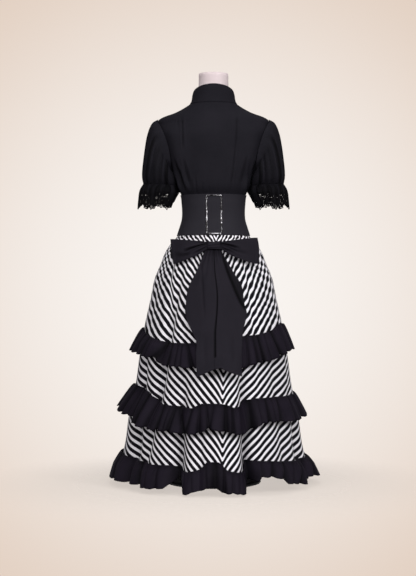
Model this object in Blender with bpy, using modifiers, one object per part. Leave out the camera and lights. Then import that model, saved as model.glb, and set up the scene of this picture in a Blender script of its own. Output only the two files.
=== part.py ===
"""Corset dress on a limbless dress form.

Metres, +Z up, origin on the floor under the form's pole. The dress's back faces -Y, its front +Y.
An angle runs round the body from the centre back (0) over +X (90) to the centre front (180).
"""
import math

import bpy
import bmesh
import numpy as np
from mathutils import Vector

# Driving sizes
SEAM = 0.0003
BODICE_WALL = 0.0012
CORSET_WALL = 0.0025
SKIRT_WALL = 0.0015
RUFFLE_WALL = 0.0015
BOW_WALL = 0.0020
COLLAR_WALL = 0.0018
LAYER = 0.0008

WAIST_SEAM = 0.945
CORSET_BOTTOM = 0.886
CORSET_TOP = 1.034
NECK_BASE = 1.360
ARMHOLE_TOP = 1.303
ARMHOLE_BOTTOM = 1.108
ARMHOLE_HALF_ANGLE = 35.0
ARMHOLE_STEPS = 9

PRINCESS_LEFT = -35.0
PRINCESS_RIGHT = 31.0
PLACKET_HALF_ANGLE = 6.0

FORM_BOTTOM = 0.700
BASE_RADIUS = 0.170
BASE_THICKNESS = 0.018
BASE_EDGE = 0.004
POLE_RADIUS = 0.016


class Table:
    """Rows of named columns, read smoothly along the first column."""

    def __init__(self, columns, rows):
        self.columns = columns.split()
        self.rows = np.array(sorted(rows), dtype=float)

    def keys(self):
        return [float(key) for key in self.rows[:, 0]]

    def read(self, column, key):
        keys = self.rows[:, 0]
        values = self.rows[:, self.columns.index(column)]
        slopes = np.gradient(values, keys)
        spot = int(np.clip(np.searchsorted(keys, key) - 1, 0, len(keys) - 2))
        span = keys[spot + 1] - keys[spot]
        part = min(max((key - keys[spot]) / span, 0.0), 1.0)
        rise, fall = part ** 3 - 2 * part ** 2 + part, part ** 3 - part ** 2
        step = 3 * part ** 2 - 2 * part ** 3
        start, end = values[spot], values[spot + 1]
        return float(start + (end - start) * step + span * (slopes[spot] * rise + slopes[spot + 1] * fall))


# Inner face of the bodice; ease is the room between it and the form
TORSO = Table("height half_width back_depth front_depth ease", [
    (0.886, 0.1280, 0.098, 0.104, 0.000),
    (0.915, 0.1185, 0.088, 0.095, 0.000),
    (0.945, 0.1100, 0.080, 0.088, 0.000),
    (0.961, 0.1085, 0.079, 0.088, 0.000),
    (1.000, 0.1100, 0.082, 0.095, 0.000),
    (1.034, 0.1150, 0.087, 0.104, 0.000),
    (1.058, 0.1280, 0.099, 0.116, 0.004),
    (1.082, 0.1375, 0.104, 0.126, 0.006),
    (1.108, 0.1455, 0.106, 0.133, 0.007),
    (1.150, 0.1580, 0.107, 0.133, 0.007),
    (1.206, 0.1740, 0.108, 0.118, 0.007),
    (1.255, 0.1880, 0.104, 0.098, 0.005),
    (1.285, 0.1955, 0.096, 0.083, 0.005),
    (1.303, 0.1965, 0.088, 0.075, 0.002),
    (1.313, 0.1800, 0.083, 0.071, 0.0006),
    (1.326, 0.1430, 0.077, 0.068, 0.000),
    (1.341, 0.1130, 0.072, 0.066, 0.000),
    (1.352, 0.0950, 0.070, 0.066, 0.000),
    (1.360, 0.0835, 0.069, 0.066, 0.000),
])

# Slanting folds that run from the underarm to the corset, as angles round the body
UNDERARM_FOLD_DEPTH = 0.004
UNDERARM_FOLD_LOW_ANGLE = 46
UNDERARM_FOLD_DRIFT = 24
UNDERARM_FOLD_PITCH = 24
UNDERARM_FOLD_SPREAD = 22

# Stand collar, from its seam to its top edge, which rises at the back and dips at the front
COLLAR = Table("part half_width depth", [
    (0.00, 0.0825, 0.0675),
    (0.35, 0.0765, 0.0670),
    (1.00, 0.0745, 0.0680),
])
COLLAR_COLUMNS = 24
COLLAR_SIDE_TOP = 1.398
COLLAR_BACK_RISE = 0.029
COLLAR_FRONT_DROP = 0.010

# Hips and neck of the form, beyond the bodice
FORM_HIPS = Table("height half_width back_depth front_depth", [
    (0.700, 0.1400, 0.112, 0.108),
    (0.715, 0.1450, 0.117, 0.112),
    (0.780, 0.1460, 0.118, 0.112),
    (0.840, 0.1400, 0.109, 0.108),
])
FORM_NECK = Table("height half_width back_depth front_depth", [
    (1.3590, 0.0780, 0.064, 0.061),
    (1.375, 0.0640, 0.058, 0.058),
    (1.400, 0.0560, 0.054, 0.054),
    (1.430, 0.0535, 0.053, 0.053),
    (1.470, 0.0530, 0.053, 0.053),
])

# Inner face of the striped skirt below the corset
SKIRT = Table("height half_width back_depth front_depth", [
    (0.075, 0.333, 0.336, 0.310),
    (0.140, 0.317, 0.322, 0.295),
    (0.240, 0.303, 0.304, 0.280),
    (0.350, 0.279, 0.276, 0.258),
    (0.460, 0.264, 0.254, 0.240),
    (0.560, 0.247, 0.232, 0.222),
    (0.660, 0.225, 0.205, 0.197),
    (0.740, 0.208, 0.180, 0.173),
    (0.790, 0.187, 0.157, 0.150),
    (0.820, 0.176, 0.142, 0.138),
    (0.850, 0.159, 0.124, 0.122),
    (0.886, 0.128, 0.098, 0.104),
])

# Deep folds of the skirt: each fades in below its top and is deepest at the hem
FOLD_COLUMNS = "angle spread depth top".split()
SKIRT_FOLDS = [
    (-66, 8, 0.030, 0.60),
    (-40, 8, 0.038, 0.78),
    (-21, 7, 0.042, 0.42),
    (20, 7, 0.045, 0.48),
    (34, 6, 0.018, 0.30),
    (50, 7, 0.030, 0.55),
    (70, 7, 0.030, 0.36),
    (112, 8, 0.032, 0.62),
    (136, 8, 0.036, 0.70),
    (158, 7, 0.030, 0.45),
    (-159, 8, 0.034, 0.50),
    (-138, 7, 0.030, 0.66),
    (-113, 8, 0.034, 0.58),
]
HEM = 0.075

# Seam and lower edge of each ruffle tier round the skirt
RUFFLE_UPPER = Table("angle seam edge", [
    (-180, 0.552, 0.472), (-135, 0.556, 0.476), (-90, 0.556, 0.476), (-60, 0.528, 0.456),
    (-40, 0.511, 0.437), (-20, 0.510, 0.432), (0, 0.516, 0.432), (20, 0.528, 0.432),
    (40, 0.540, 0.442), (60, 0.554, 0.454), (90, 0.570, 0.478), (135, 0.560, 0.476),
    (180, 0.552, 0.472),
])
RUFFLE_MIDDLE = Table("angle seam edge", [
    (-180, 0.335, 0.250), (-135, 0.342, 0.262), (-90, 0.354, 0.276), (-60, 0.340, 0.252),
    (-40, 0.306, 0.219), (-20, 0.294, 0.211), (-6, 0.310, 0.214), (5, 0.309, 0.224),
    (14, 0.298, 0.212), (24, 0.318, 0.224), (56, 0.322, 0.240), (90, 0.324, 0.252),
    (135, 0.338, 0.256), (180, 0.335, 0.250),
])
RUFFLE_HEM = Table("angle seam edge", [
    (-180, 0.102, 0.018), (-135, 0.110, 0.022), (-90, 0.117, 0.024), (-58, 0.104, 0.015),
    (-40, 0.103, 0.015), (-28, 0.100, 0.022), (-21, 0.092, 0.032), (-16, 0.084, 0.011),
    (-6, 0.100, 0.022), (0, 0.112, 0.026), (9, 0.086, 0.012), (17, 0.083, 0.010),
    (21, 0.100, 0.028), (30, 0.112, 0.038), (50, 0.098, 0.024), (70, 0.096, 0.016),
    (90, 0.117, 0.024), (135, 0.108, 0.020), (180, 0.102, 0.018),
])
# Room between skirt and ruffle at the seam, how far the edge flares, and its waves' depth
RUFFLES = [
    ("ruffle_upper", RUFFLE_UPPER, 0.0027, 0.014, 0.014),
    ("ruffle_middle", RUFFLE_MIDDLE, 0.0031, 0.019, 0.016),
    ("ruffle_hem", RUFFLE_HEM, 0.0031, 0.016, 0.016),
]
RUFFLE_WAVES = 26
WAVE_STEPS = (0.0, 0.55, 1.0, 0.45)
SEAM_WAVE = 0.002

# Rings of a sleeve: outermost and innermost point, half depth front to back, and gather wave
SLEEVE_COLUMNS = "outer_x outer_z inner_x inner_z half_depth wave".split()
SLEEVE_RINGS = [
    (0.2215, 1.2870, 0.1525, 1.1040, 0.066, 0.0010),
    (0.2385, 1.2420, 0.1525, 1.0960, 0.074, 0.0030),
    (0.2500, 1.1680, 0.1500, 1.0870, 0.078, 0.0040),
    (0.2555, 1.1080, 0.1465, 1.0780, 0.070, 0.0045),
    (0.2500, 1.0740, 0.1450, 1.0690, 0.055, 0.0030),
]
SLEEVE_RUFFLE_RINGS = [
    (0.2500, 1.0722, 0.1450, 1.0672, 0.055, 0.0030),
    (0.2620, 1.0560, 0.1440, 1.0530, 0.062, 0.0060),
    (0.2670, 1.0400, 0.1430, 1.0380, 0.066, 0.0070),
]
SLEEVE_LACE_RINGS = [
    (0.2670, 1.0395, 0.1430, 1.0375, 0.066, 0.0070),
    (0.2690, 1.0200, 0.1440, 1.0190, 0.067, 0.0070),
    (0.2700, 1.0120, 0.1445, 1.0110, 0.068, 0.0065),
    (0.2715, 0.9950, 0.1450, 0.9950, 0.068, 0.0060),
]
SLEEVE_WAVES = 9
SLEEVE_LIFT = 0.0006
UNDERARM_LIFT = 0.0008
LACE_UNITS = 12
LACE_GAP_SHARE = 0.6
SCALLOP_DROP = 0.005

# Edges of the bow's tails down the back, and how far they stand off the skirt
TAILS = Table("height left_edge slit right_edge lift", [
    (0.829, -0.030, -0.001, 0.031, 0.0006),
    (0.752, -0.071, 0.000, 0.071, 0.0050),
    (0.683, -0.092, 0.002, 0.095, 0.0060),
    (0.618, -0.098, 0.003, 0.112, 0.0080),
    (0.566, -0.088, 0.004, 0.108, 0.0130),
    (0.519, -0.061, 0.005, 0.100, 0.0260),
    (0.475, -0.060, 0.006, 0.101, 0.0420),
    (0.439, -0.062, 0.006, 0.107, 0.0500),
    (0.405, -0.059, 0.006, 0.097, 0.0520),
])
SLIT_GAP = 0.0016
TAIL_TIP_DROP = 0.012
TAIL_SLIT_RISE = 0.016
TAIL_CREASE = 0.007
TAIL_CREASE_FADE = 0.15

# A loop of the bow from the knot to its outer fold, as distances from the centre back
LOOP = Table("along outer_y inner_y bottom top", [
    (0.010, -0.1470, -0.1410, 0.8370, 0.8610),
    (0.022, -0.1490, -0.1420, 0.8368, 0.8612),
    (0.045, -0.1600, -0.1430, 0.8230, 0.8640),
    (0.080, -0.1660, -0.1430, 0.8080, 0.8665),
    (0.115, -0.1600, -0.1390, 0.7950, 0.8690),
    (0.142, -0.1480, -0.1340, 0.7850, 0.8710),
])
LOOP_FOLD_REACH = 0.0105
LOOP_CREASE = 0.0025
LOOP_CREASE_START = 0.03
KNOT_CENTRE = (0.001, -0.1442, 0.849)
KNOT_HALF_LENGTH = 0.021
KNOT_HALF_DEPTH = 0.0145
KNOT_HALF_HEIGHT = 0.0150

# Centre-back panel of the corset and its shiny frame, as distances from the centre back
PANEL_LEFT = -0.0265
PANEL_RIGHT = 0.0300
FRAME_BAR = 0.0055
FRAME_INSET = 0.002
FRAME_WALL = 0.0018

COLOURS = {
    "bodice_cloth": (0.012, 0.011, 0.014),
    "corset_cloth": (0.024, 0.023, 0.030),
    "frame_gloss": (0.030, 0.030, 0.036),
    "stripe_cloth": (0.420, 0.410, 0.450),
    "ruffle_cloth": (0.010, 0.008, 0.013),
    "bow_cloth": (0.020, 0.018, 0.023),
    "lace": (0.014, 0.013, 0.016),
    "form_linen": (0.600, 0.530, 0.520),
    "form_metal": (0.080, 0.080, 0.085),
}
ROUGHNESS = {"frame_gloss": 0.15, "form_metal": 0.35}


def material(name):
    """One Principled material for each cloth or metal."""
    found = bpy.data.materials.get(name)
    if found:
        return found
    made = bpy.data.materials.new(name)
    made.use_nodes = True
    shader = made.node_tree.nodes["Principled BSDF"]
    shader.inputs["Base Color"].default_value = (*COLOURS[name], 1)
    shader.inputs["Roughness"].default_value = ROUGHNESS.get(name, 0.8)
    shader.inputs["Metallic"].default_value = 1.0 if name == "form_metal" else 0.0
    made.diffuse_color = (*COLOURS[name], 1)
    return made


def place(name, shape, cloth):
    """Put a mesh into the dress's collection as a named object."""
    mesh = bpy.data.meshes.new(name)
    shape.to_mesh(mesh)
    shape.free()
    mesh.shade_smooth()
    mesh.materials.append(material(cloth))
    piece = bpy.data.objects.new(name, mesh)
    bpy.data.collections["corset_dress"].objects.link(piece)
    return piece


def loft(rows, round_about=False, gaps=()):
    """Open surface through rows of points, lowest row first; gaps are cells left open."""
    shape = bmesh.new()
    net = [[shape.verts.new(point) for point in row] for row in rows]
    columns = len(rows[0])
    cells = columns if round_about else columns - 1
    for row in range(len(rows) - 1):
        for column in range(cells):
            if (row, column) in gaps:
                continue
            beside = (column + 1) % columns
            shape.faces.new((net[row][column], net[row][beside],
                             net[row + 1][beside], net[row + 1][column]))
    return shape


def sew(name, rows, wall, cloth, round_about=False, gaps=()):
    """Cloth through rows of points on its inner face, thickened outwards."""
    piece = place(name, loft(rows, round_about, gaps), cloth)
    thicken = piece.modifiers.new("wall", "SOLIDIFY")
    thicken.thickness = wall
    thicken.offset = 1.0
    return piece


def ring_point(angle, height, half_width, back_depth, front_depth):
    turn = math.radians(angle)
    depth = back_depth if math.cos(turn) > 0 else front_depth
    return Vector((half_width * math.sin(turn), -depth * math.cos(turn), height))


def read_ring(table, angle, height):
    return ring_point(angle, height, table.read("half_width", height),
                      table.read("back_depth", height), table.read("front_depth", height))


def torso(angle, height, out=0.0):
    """Inner face of the bodice, moved out along its own normal."""
    spot = read_ring(TORSO, angle, height)
    if out == 0.0:
        return spot
    step_angle, step_height = 0.5, 0.001
    around = read_ring(TORSO, angle + step_angle, height) - read_ring(TORSO, angle - step_angle, height)
    above = min(height + step_height, NECK_BASE)
    below = max(height - step_height, CORSET_BOTTOM)
    upward = read_ring(TORSO, angle, above) - read_ring(TORSO, angle, below)
    return spot + around.cross(upward).normalized() * out


def spread(start, end, count):
    """count even steps from start to end, both ends included."""
    return [start + (end - start) * step / count for step in range(count + 1)]


BACK_ANGLES = spread(PRINCESS_LEFT, PRINCESS_RIGHT, 6)
SIDE_STEPS = 5
FRONT_STEPS = 5
ARMHOLE_HEIGHTS = [
    (ARMHOLE_TOP + ARMHOLE_BOTTOM) / 2
    - (ARMHOLE_TOP - ARMHOLE_BOTTOM) / 2 * math.cos(math.pi * step / ARMHOLE_STEPS)
    for step in range(ARMHOLE_STEPS + 1)
]
LOWER_HEIGHTS = [WAIST_SEAM, 0.961, 1.000, CORSET_TOP, 1.058, 1.082]
UPPER_HEIGHTS = [1.313, 1.326, 1.341, 1.352, NECK_BASE]
BODICE_HEIGHTS = LOWER_HEIGHTS + ARMHOLE_HEIGHTS + UPPER_HEIGHTS


def armhole_angle(height):
    """How far the armhole reaches either side of the side seam."""
    middle = (ARMHOLE_TOP + ARMHOLE_BOTTOM) / 2
    reach = (height - middle) / (ARMHOLE_TOP - ARMHOLE_BOTTOM) * 2
    if abs(reach) >= 1:
        return 0.0
    return ARMHOLE_HALF_ANGLE * math.sqrt(1 - reach * reach)


def seam_angle(height):
    """Half of a seam's gap, as an angle on the torso."""
    return math.degrees(SEAM / 2 / TORSO.read("back_depth", height))


def underarm_fold(angle, height):
    """How far the cloth stands out in the folds between corset and underarm."""
    if not CORSET_TOP < height < ARMHOLE_BOTTOM:
        return 0.0
    part = (height - CORSET_TOP) / (ARMHOLE_BOTTOM - CORSET_TOP)
    swell = math.sin(math.pi * part) * UNDERARM_FOLD_DEPTH
    away = abs(angle) - (UNDERARM_FOLD_LOW_ANGLE + UNDERARM_FOLD_DRIFT * part)
    wave = math.cos(2 * math.pi * away / UNDERARM_FOLD_PITCH)
    return max(swell * wave * math.exp(-(away / UNDERARM_FOLD_SPREAD) ** 2), 0.0)


def bodice_panel(name, start, end, steps, armhole_side=0):
    """A panel between two angles; armhole_side is 1 or -1 where its end edge meets an armhole."""
    rows = []
    for height in BODICE_HEIGHTS:
        gap = seam_angle(height)
        finish = end - armhole_side * armhole_angle(height)
        edge_start = start + math.copysign(gap, finish - start)
        edge_end = finish - math.copysign(gap, finish - start)
        row = []
        for angle in spread(edge_start, edge_end, steps):
            fold = underarm_fold(angle, height) if abs(end) == 90 else 0.0
            row.append(torso(angle, height, fold))
        rows.append(row if end > start else row[::-1])
    return sew(name, rows, BODICE_WALL, "bodice_cloth")


def make_bodice():
    bodice_panel("bodice_back_centre", PRINCESS_LEFT, PRINCESS_RIGHT, 6)
    bodice_panel("bodice_back_left", PRINCESS_LEFT, -90, SIDE_STEPS, armhole_side=-1)
    bodice_panel("bodice_back_right", PRINCESS_RIGHT, 90, SIDE_STEPS, armhole_side=1)
    bodice_panel("bodice_front_left", -180, -90, FRONT_STEPS, armhole_side=1)
    bodice_panel("bodice_front_right", 180, 90, FRONT_STEPS, armhole_side=-1)


def make_placket():
    heights = [height for height in BODICE_HEIGHTS if CORSET_TOP < height < NECK_BASE]
    lift = BODICE_WALL + LAYER
    angles = spread(180 - PLACKET_HALF_ANGLE, 180 + PLACKET_HALF_ANGLE, 2)
    rows = [[torso(angle, height, lift) for angle in angles] for height in heights]
    sew("placket", rows, BODICE_WALL, "bodice_cloth")


def make_collar():
    """Stand collar that rises towards the centre back."""
    lower = NECK_BASE + BODICE_WALL + SEAM
    rows = []
    for part in COLLAR.keys():
        half_width, depth = COLLAR.read("half_width", part), COLLAR.read("depth", part)
        row = []
        for angle in spread(0, 360, COLLAR_COLUMNS)[:-1]:
            lean = math.cos(math.radians(angle))
            top = COLLAR_SIDE_TOP + (COLLAR_BACK_RISE if lean > 0 else COLLAR_FRONT_DROP) * lean
            row.append(ring_point(angle, lower + (top - lower) * part, half_width, depth, depth))
        rows.append(row)
    sew("collar", rows, COLLAR_WALL, "bodice_cloth", round_about=True)


def armhole_ring(side):
    """The armhole's edge from the shoulder round the back to the underarm and up the front."""
    edge = []
    for step in range(2 * ARMHOLE_STEPS):
        level = ARMHOLE_STEPS - step if step <= ARMHOLE_STEPS else step - ARMHOLE_STEPS
        height = ARMHOLE_HEIGHTS[level]
        reach = armhole_angle(height) + seam_angle(height)
        angle = 90 - reach if step <= ARMHOLE_STEPS else 90 + reach
        lowness = (1 - math.cos(math.pi * step / ARMHOLE_STEPS)) / 2
        lift = BODICE_WALL + SLEEVE_LIFT + UNDERARM_LIFT * lowness
        edge.append(torso(side * angle, height, lift))
    ring = []
    for here, beside in zip(edge, edge[1:] + edge[:1]):
        ring += [here, (here + beside) / 2]
    return ring


def sleeve_ring(side, row, drop=None):
    """An oval of sleeve cloth with its gathers, in the armhole ring's order."""
    sizes = dict(zip(SLEEVE_COLUMNS, row))
    outer = Vector((side * sizes["outer_x"], 0, sizes["outer_z"]))
    inner = Vector((side * sizes["inner_x"], 0, sizes["inner_z"]))
    centre, reach = (outer + inner) / 2, (outer - inner) / 2
    ring = []
    for step in range(4 * ARMHOLE_STEPS):
        turn = math.pi * step / (2 * ARMHOLE_STEPS)
        uneven = 1 + 0.3 * math.sin(2 * turn + 1.0)
        swell = 1 + sizes["wave"] * uneven * math.sin(SLEEVE_WAVES * turn) / sizes["half_depth"]
        point = centre + reach * math.cos(turn) * swell
        point.y -= sizes["half_depth"] * math.sin(turn) * swell
        if drop:
            point.z -= drop(turn)
        ring.append(point)
    return ring


def facing_out(rings, side):
    """Rings listed so that their faces look out of the tube, whichever side it is on."""
    return [ring if side > 0 else ring[::-1] for ring in rings]


def make_sleeve(side, hand):
    rings = [armhole_ring(side)] + [sleeve_ring(side, row) for row in SLEEVE_RINGS]
    sew("sleeve_" + hand, facing_out(rings, side), BODICE_WALL, "bodice_cloth", round_about=True)
    rings = [sleeve_ring(side, row) for row in SLEEVE_RUFFLE_RINGS]
    sew("sleeve_ruffle_" + hand, facing_out(rings, side), BODICE_WALL, "bodice_cloth",
        round_about=True)


def scallop(turn):
    """How far the lace's edge hangs below its hollows."""
    return SCALLOP_DROP * (0.5 - 0.5 * math.cos(LACE_UNITS * turn))


def make_sleeve_lace(side, hand):
    """Lace edging in two halves, each scallop with one gap."""
    rings = [sleeve_ring(side, row) for row in SLEEVE_LACE_RINGS[:-1]]
    rings.append(sleeve_ring(side, SLEEVE_LACE_RINGS[-1], scallop))
    unit = 4 * ARMHOLE_STEPS // LACE_UNITS
    for ring in rings[1:3]:
        for first in range(1, len(ring), unit):
            middle = (ring[first] + ring[first + 1]) / 2
            for spot in (first, first + 1):
                ring[spot] = middle + (ring[spot] - middle) * LACE_GAP_SHARE
    half = len(rings[0]) // 2
    gaps = [(1, column) for column in range(half) if column % unit == 1]
    for part, start in (("back", 0), ("front", half)):
        rows = []
        for ring in rings:
            row = [ring[(start + step) % len(ring)].copy() for step in range(half + 1)]
            for edge, inward in ((0, 1), (-1, -2)):
                row[edge] += (row[inward] - row[edge]).normalized() * SEAM / 2
            rows.append(row)
        sew("sleeve_lace_%s_%s" % (part, hand), facing_out(rows, side), BODICE_WALL, "lace",
            gaps=gaps)


CORSET_HEIGHTS = [CORSET_BOTTOM, WAIST_SEAM, 0.961, 1.000, CORSET_TOP]
CORSET_LIFT = SKIRT_WALL + LAYER
FRAME_HEIGHTS = [CORSET_BOTTOM + FRAME_INSET, CORSET_BOTTOM + FRAME_INSET + FRAME_BAR, *CORSET_HEIGHTS[1:-1],
                 CORSET_TOP - FRAME_INSET - FRAME_BAR, CORSET_TOP - FRAME_INSET]


def corset_angle(distance, height):
    """The angle at which the corset is this far from the centre back."""
    half_width = TORSO.read("half_width", height) + CORSET_LIFT
    return math.degrees(math.asin(distance / half_width))


def corset_panel(name, start, end, steps):
    """A panel of the corset; start and end are angles, or distances from the centre back."""
    gap = math.degrees(SEAM / 2 / TORSO.read("back_depth", WAIST_SEAM))
    rows = []
    for height in CORSET_HEIGHTS:
        first = corset_angle(start, height) if abs(start) < 1 else start
        last = corset_angle(end, height) if abs(end) < 1 else end
        angles = spread(first + gap, last - gap, steps)
        rows.append([torso(angle, height, CORSET_LIFT) for angle in angles])
    sew(name, rows, CORSET_WALL, "corset_cloth")


def on_corset(distance, height, out):
    """A point on the flat facets between the corset's rows, moved out."""
    above = next(level for level in CORSET_HEIGHTS[1:] if level >= height)
    below = CORSET_HEIGHTS[CORSET_HEIGHTS.index(above) - 1]
    low = torso(corset_angle(distance, below), below, out)
    high = torso(corset_angle(distance, above), above, out)
    return low.lerp(high, (height - below) / (above - below))


def make_corset():
    corset_panel("corset_left", -180, PANEL_LEFT, 17)
    corset_panel("corset_right", PANEL_RIGHT, 180, 17)
    corset_panel("corset_back_panel", PANEL_LEFT, PANEL_RIGHT, 4)


def make_corset_frame():
    """A closed rectangle of narrow bars, laid on the edge of the centre-back panel."""
    middle = (PANEL_LEFT + PANEL_RIGHT) / 2
    distances = [PANEL_LEFT, PANEL_LEFT + FRAME_BAR, middle, PANEL_RIGHT - FRAME_BAR, PANEL_RIGHT]
    lift = CORSET_LIFT + CORSET_WALL + LAYER
    rows = []
    for height in FRAME_HEIGHTS:
        rows.append([on_corset(distance, height, lift) for distance in distances])
    gaps = [(row, column) for row in range(1, len(FRAME_HEIGHTS) - 2) for column in (1, 2)]
    sew("corset_frame", rows, FRAME_WALL, "frame_gloss", gaps=gaps)


SKIRT_COLUMNS = 52
SKIRT_HEIGHTS = [HEM, 0.160, 0.270, 0.390, 0.520, 0.650, 0.745, 0.795, 0.840, CORSET_BOTTOM,
                 WAIST_SEAM - 3 * SEAM]
RUFFLE_COLUMNS = RUFFLE_WAVES * len(WAVE_STEPS)


def fold_depth(angle, height):
    """How far the skirt's cloth is drawn in by its deep folds."""
    depth = 0.0
    for row in SKIRT_FOLDS:
        fold = dict(zip(FOLD_COLUMNS, row))
        fade = (fold["top"] - height) / (fold["top"] - HEM)
        if fade <= 0:
            continue
        away = (angle - fold["angle"] + 180) % 360 - 180
        depth += fold["depth"] * min(fade, 1.0) ** 0.8 * math.exp(-(away / fold["spread"]) ** 2)
    return depth


def skirt(angle, height):
    """Inner face of the skirt."""
    if height >= CORSET_BOTTOM:
        return torso(angle, height)
    point = read_ring(SKIRT, angle, height)
    outward = Vector((point.x, point.y, 0)).normalized()
    return point - outward * fold_depth(angle, height)


def skirt_net():
    angles = spread(-180, 180, SKIRT_COLUMNS)
    return [[skirt(angle, height) for angle in angles] for height in SKIRT_HEIGHTS]


def on_skirt(net, angle, height, out):
    """A point on the skirt's flat facets, moved out level with the floor."""
    place_round = (angle + 180) / 360 * SKIRT_COLUMNS
    column = min(max(int(math.floor(place_round)), 0), SKIRT_COLUMNS - 1)
    row = int(np.clip(np.searchsorted(SKIRT_HEIGHTS, height) - 1, 0, len(SKIRT_HEIGHTS) - 2))
    across = place_round - column
    up = (height - SKIRT_HEIGHTS[row]) / (SKIRT_HEIGHTS[row + 1] - SKIRT_HEIGHTS[row])
    low = net[row][column].lerp(net[row][column + 1], across)
    high = net[row + 1][column].lerp(net[row + 1][column + 1], across)
    point = low + (high - low) * up
    outward = Vector((point.x, point.y, 0)).normalized()
    return point + outward * out


def make_skirt():
    quarter = SKIRT_COLUMNS // 4
    net = skirt_net()
    names = ["skirt_front_left", "skirt_back_left", "skirt_back_right", "skirt_front_right"]
    for index, name in enumerate(names):
        rows = []
        for line in net:
            row = [point.copy() for point in line[index * quarter:(index + 1) * quarter + 1]]
            for edge, inward in ((0, 1), (-1, -2)):
                row[edge] += (row[inward] - row[edge]).normalized() * SEAM / 2
            rows.append(row)
        sew(name, rows, SKIRT_WALL, "stripe_cloth")


def gather(step, tier):
    """Height of a ruffle's wave at one of its columns, from 0 in a trough to 1 on a crest."""
    wave, place_in_wave = divmod(step, len(WAVE_STEPS))
    uneven = 0.78 + 0.22 * math.sin(2.4 * wave + 1.7 * tier)
    return WAVE_STEPS[place_in_wave] * uneven


def make_ruffle(name, table, tier, lift, flare, wave):
    """A gathered strip sewn on at its top and standing off the skirt at its lower edge."""
    net = skirt_net()
    rows = []
    for part in (1.0, 0.45, 0.0):
        row = []
        for step in range(RUFFLE_COLUMNS):
            angle = -180 + 360 * step / RUFFLE_COLUMNS
            seam, edge = table.read("seam", angle), table.read("edge", angle)
            height = seam + (edge - seam) * part
            bulge = part ** 0.7
            swing = SEAM_WAVE + (wave - SEAM_WAVE) * part
            out = lift + flare * bulge + swing * gather(step, tier)
            row.append(on_skirt(net, angle, height, out))
        rows.append(row)
    sew(name, rows, RUFFLE_WALL, "ruffle_cloth", round_about=True)


def make_ruffles():
    for tier, (name, table, lift, flare, wave) in enumerate(RUFFLES):
        make_ruffle(name, table, tier, lift, flare, wave)


def make_bow_loop(side, hand):
    """Cloth that leaves the knot, folds over at its outer end and comes back."""
    alongs = LOOP.keys()
    path = [(along, "outer_y") for along in alongs] + [(None, None)]
    path += [(along, "inner_y") for along in reversed(alongs)]
    rows = []
    for part in spread(0.0, 1.0, 4):
        row = []
        for along, layer in path:
            reach = along if along else alongs[-1]
            bottom, top = LOOP.read("bottom", reach), LOOP.read("top", reach)
            if along:
                depth = LOOP.read(layer, reach)
            else:
                depth = (LOOP.read("outer_y", reach) + LOOP.read("inner_y", reach)) / 2
                reach += LOOP_FOLD_REACH
            crease = LOOP_CREASE * math.sin(math.pi * 3 * part) if layer == "outer_y" else 0.0
            crease *= min(1.0, (reach - alongs[0]) / LOOP_CREASE_START)
            across = side * reach + KNOT_CENTRE[0]
            row.append(Vector((across, depth + crease, bottom + (top - bottom) * part)))
        rows.append(row if side > 0 else row[::-1])
    piece = sew("bow_loop_" + hand, rows, BOW_WALL, "bow_cloth")
    piece.modifiers["wall"].offset = -1.0


def make_bow_knot():
    """A short band of cloth wound round the inner ends of the loops."""
    centre = Vector(KNOT_CENTRE)
    rows = []
    for along, swell in ((-1, 1.10), (-0.45, 0.97), (0.45, 0.97), (1, 1.10)):
        row = []
        for step in range(16):
            turn = 2 * math.pi * step / 16
            crease = 1 + 0.05 * math.cos(4 * turn)
            offset = Vector((along * KNOT_HALF_LENGTH,
                             KNOT_HALF_DEPTH * math.cos(turn) * swell * crease,
                             KNOT_HALF_HEIGHT * math.sin(turn) * swell * crease))
            row.append(centre + offset)
        rows.append(row)
    piece = sew("bow_knot", rows, BOW_WALL, "bow_cloth", round_about=True)
    piece.modifiers["wall"].offset = -1.0


def tail_point(net, height, distance, lift):
    """A point of a tail at this distance from the centre back, standing off the skirt."""
    half_width = read_ring(SKIRT, 90, height).x
    angle = math.degrees(math.asin(distance / half_width))
    return on_skirt(net, angle, height, SKIRT_WALL * 1.5 + lift)


def make_bow_tail(side, hand):
    """A tail that widens down the skirt and lies over the upper ruffle."""
    net = skirt_net()
    rows = []
    heights = TAILS.keys()
    for height in heights:
        slit = TAILS.read("slit", height) + side * SLIT_GAP / 2
        edge = TAILS.read("left_edge" if side < 0 else "right_edge", height)
        row = []
        for part in spread(0.0, 1.0, 6):
            distance = slit + (edge - slit) * part
            level = height
            if height == heights[0]:
                level += TAIL_SLIT_RISE * (1 - part) - TAIL_TIP_DROP * part
            fade = min(1.0, (heights[-1] - height) / TAIL_CREASE_FADE)
            crease = TAIL_CREASE * math.sin(math.pi * 2 * part) * fade
            lift = TAILS.read("lift", height) + max(crease, 0.0)
            row.append(tail_point(net, level, distance, lift))
        rows.append(row if side > 0 else row[::-1])
    sew("bow_tail_" + hand, rows, BOW_WALL, "bow_cloth")


def form_angles():
    """The bodice's own columns, so that the form's facets run beside the cloth's."""
    right_side = spread(PRINCESS_RIGHT, 90, SIDE_STEPS)[1:]
    right_front = spread(90, 180, FRONT_STEPS)[1:]
    left_front = spread(180, 270, FRONT_STEPS)[1:]
    left_side = spread(270, 360 + PRINCESS_LEFT, SIDE_STEPS)[1:-1]
    return BACK_ANGLES + right_side + right_front + left_front + left_side


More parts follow.
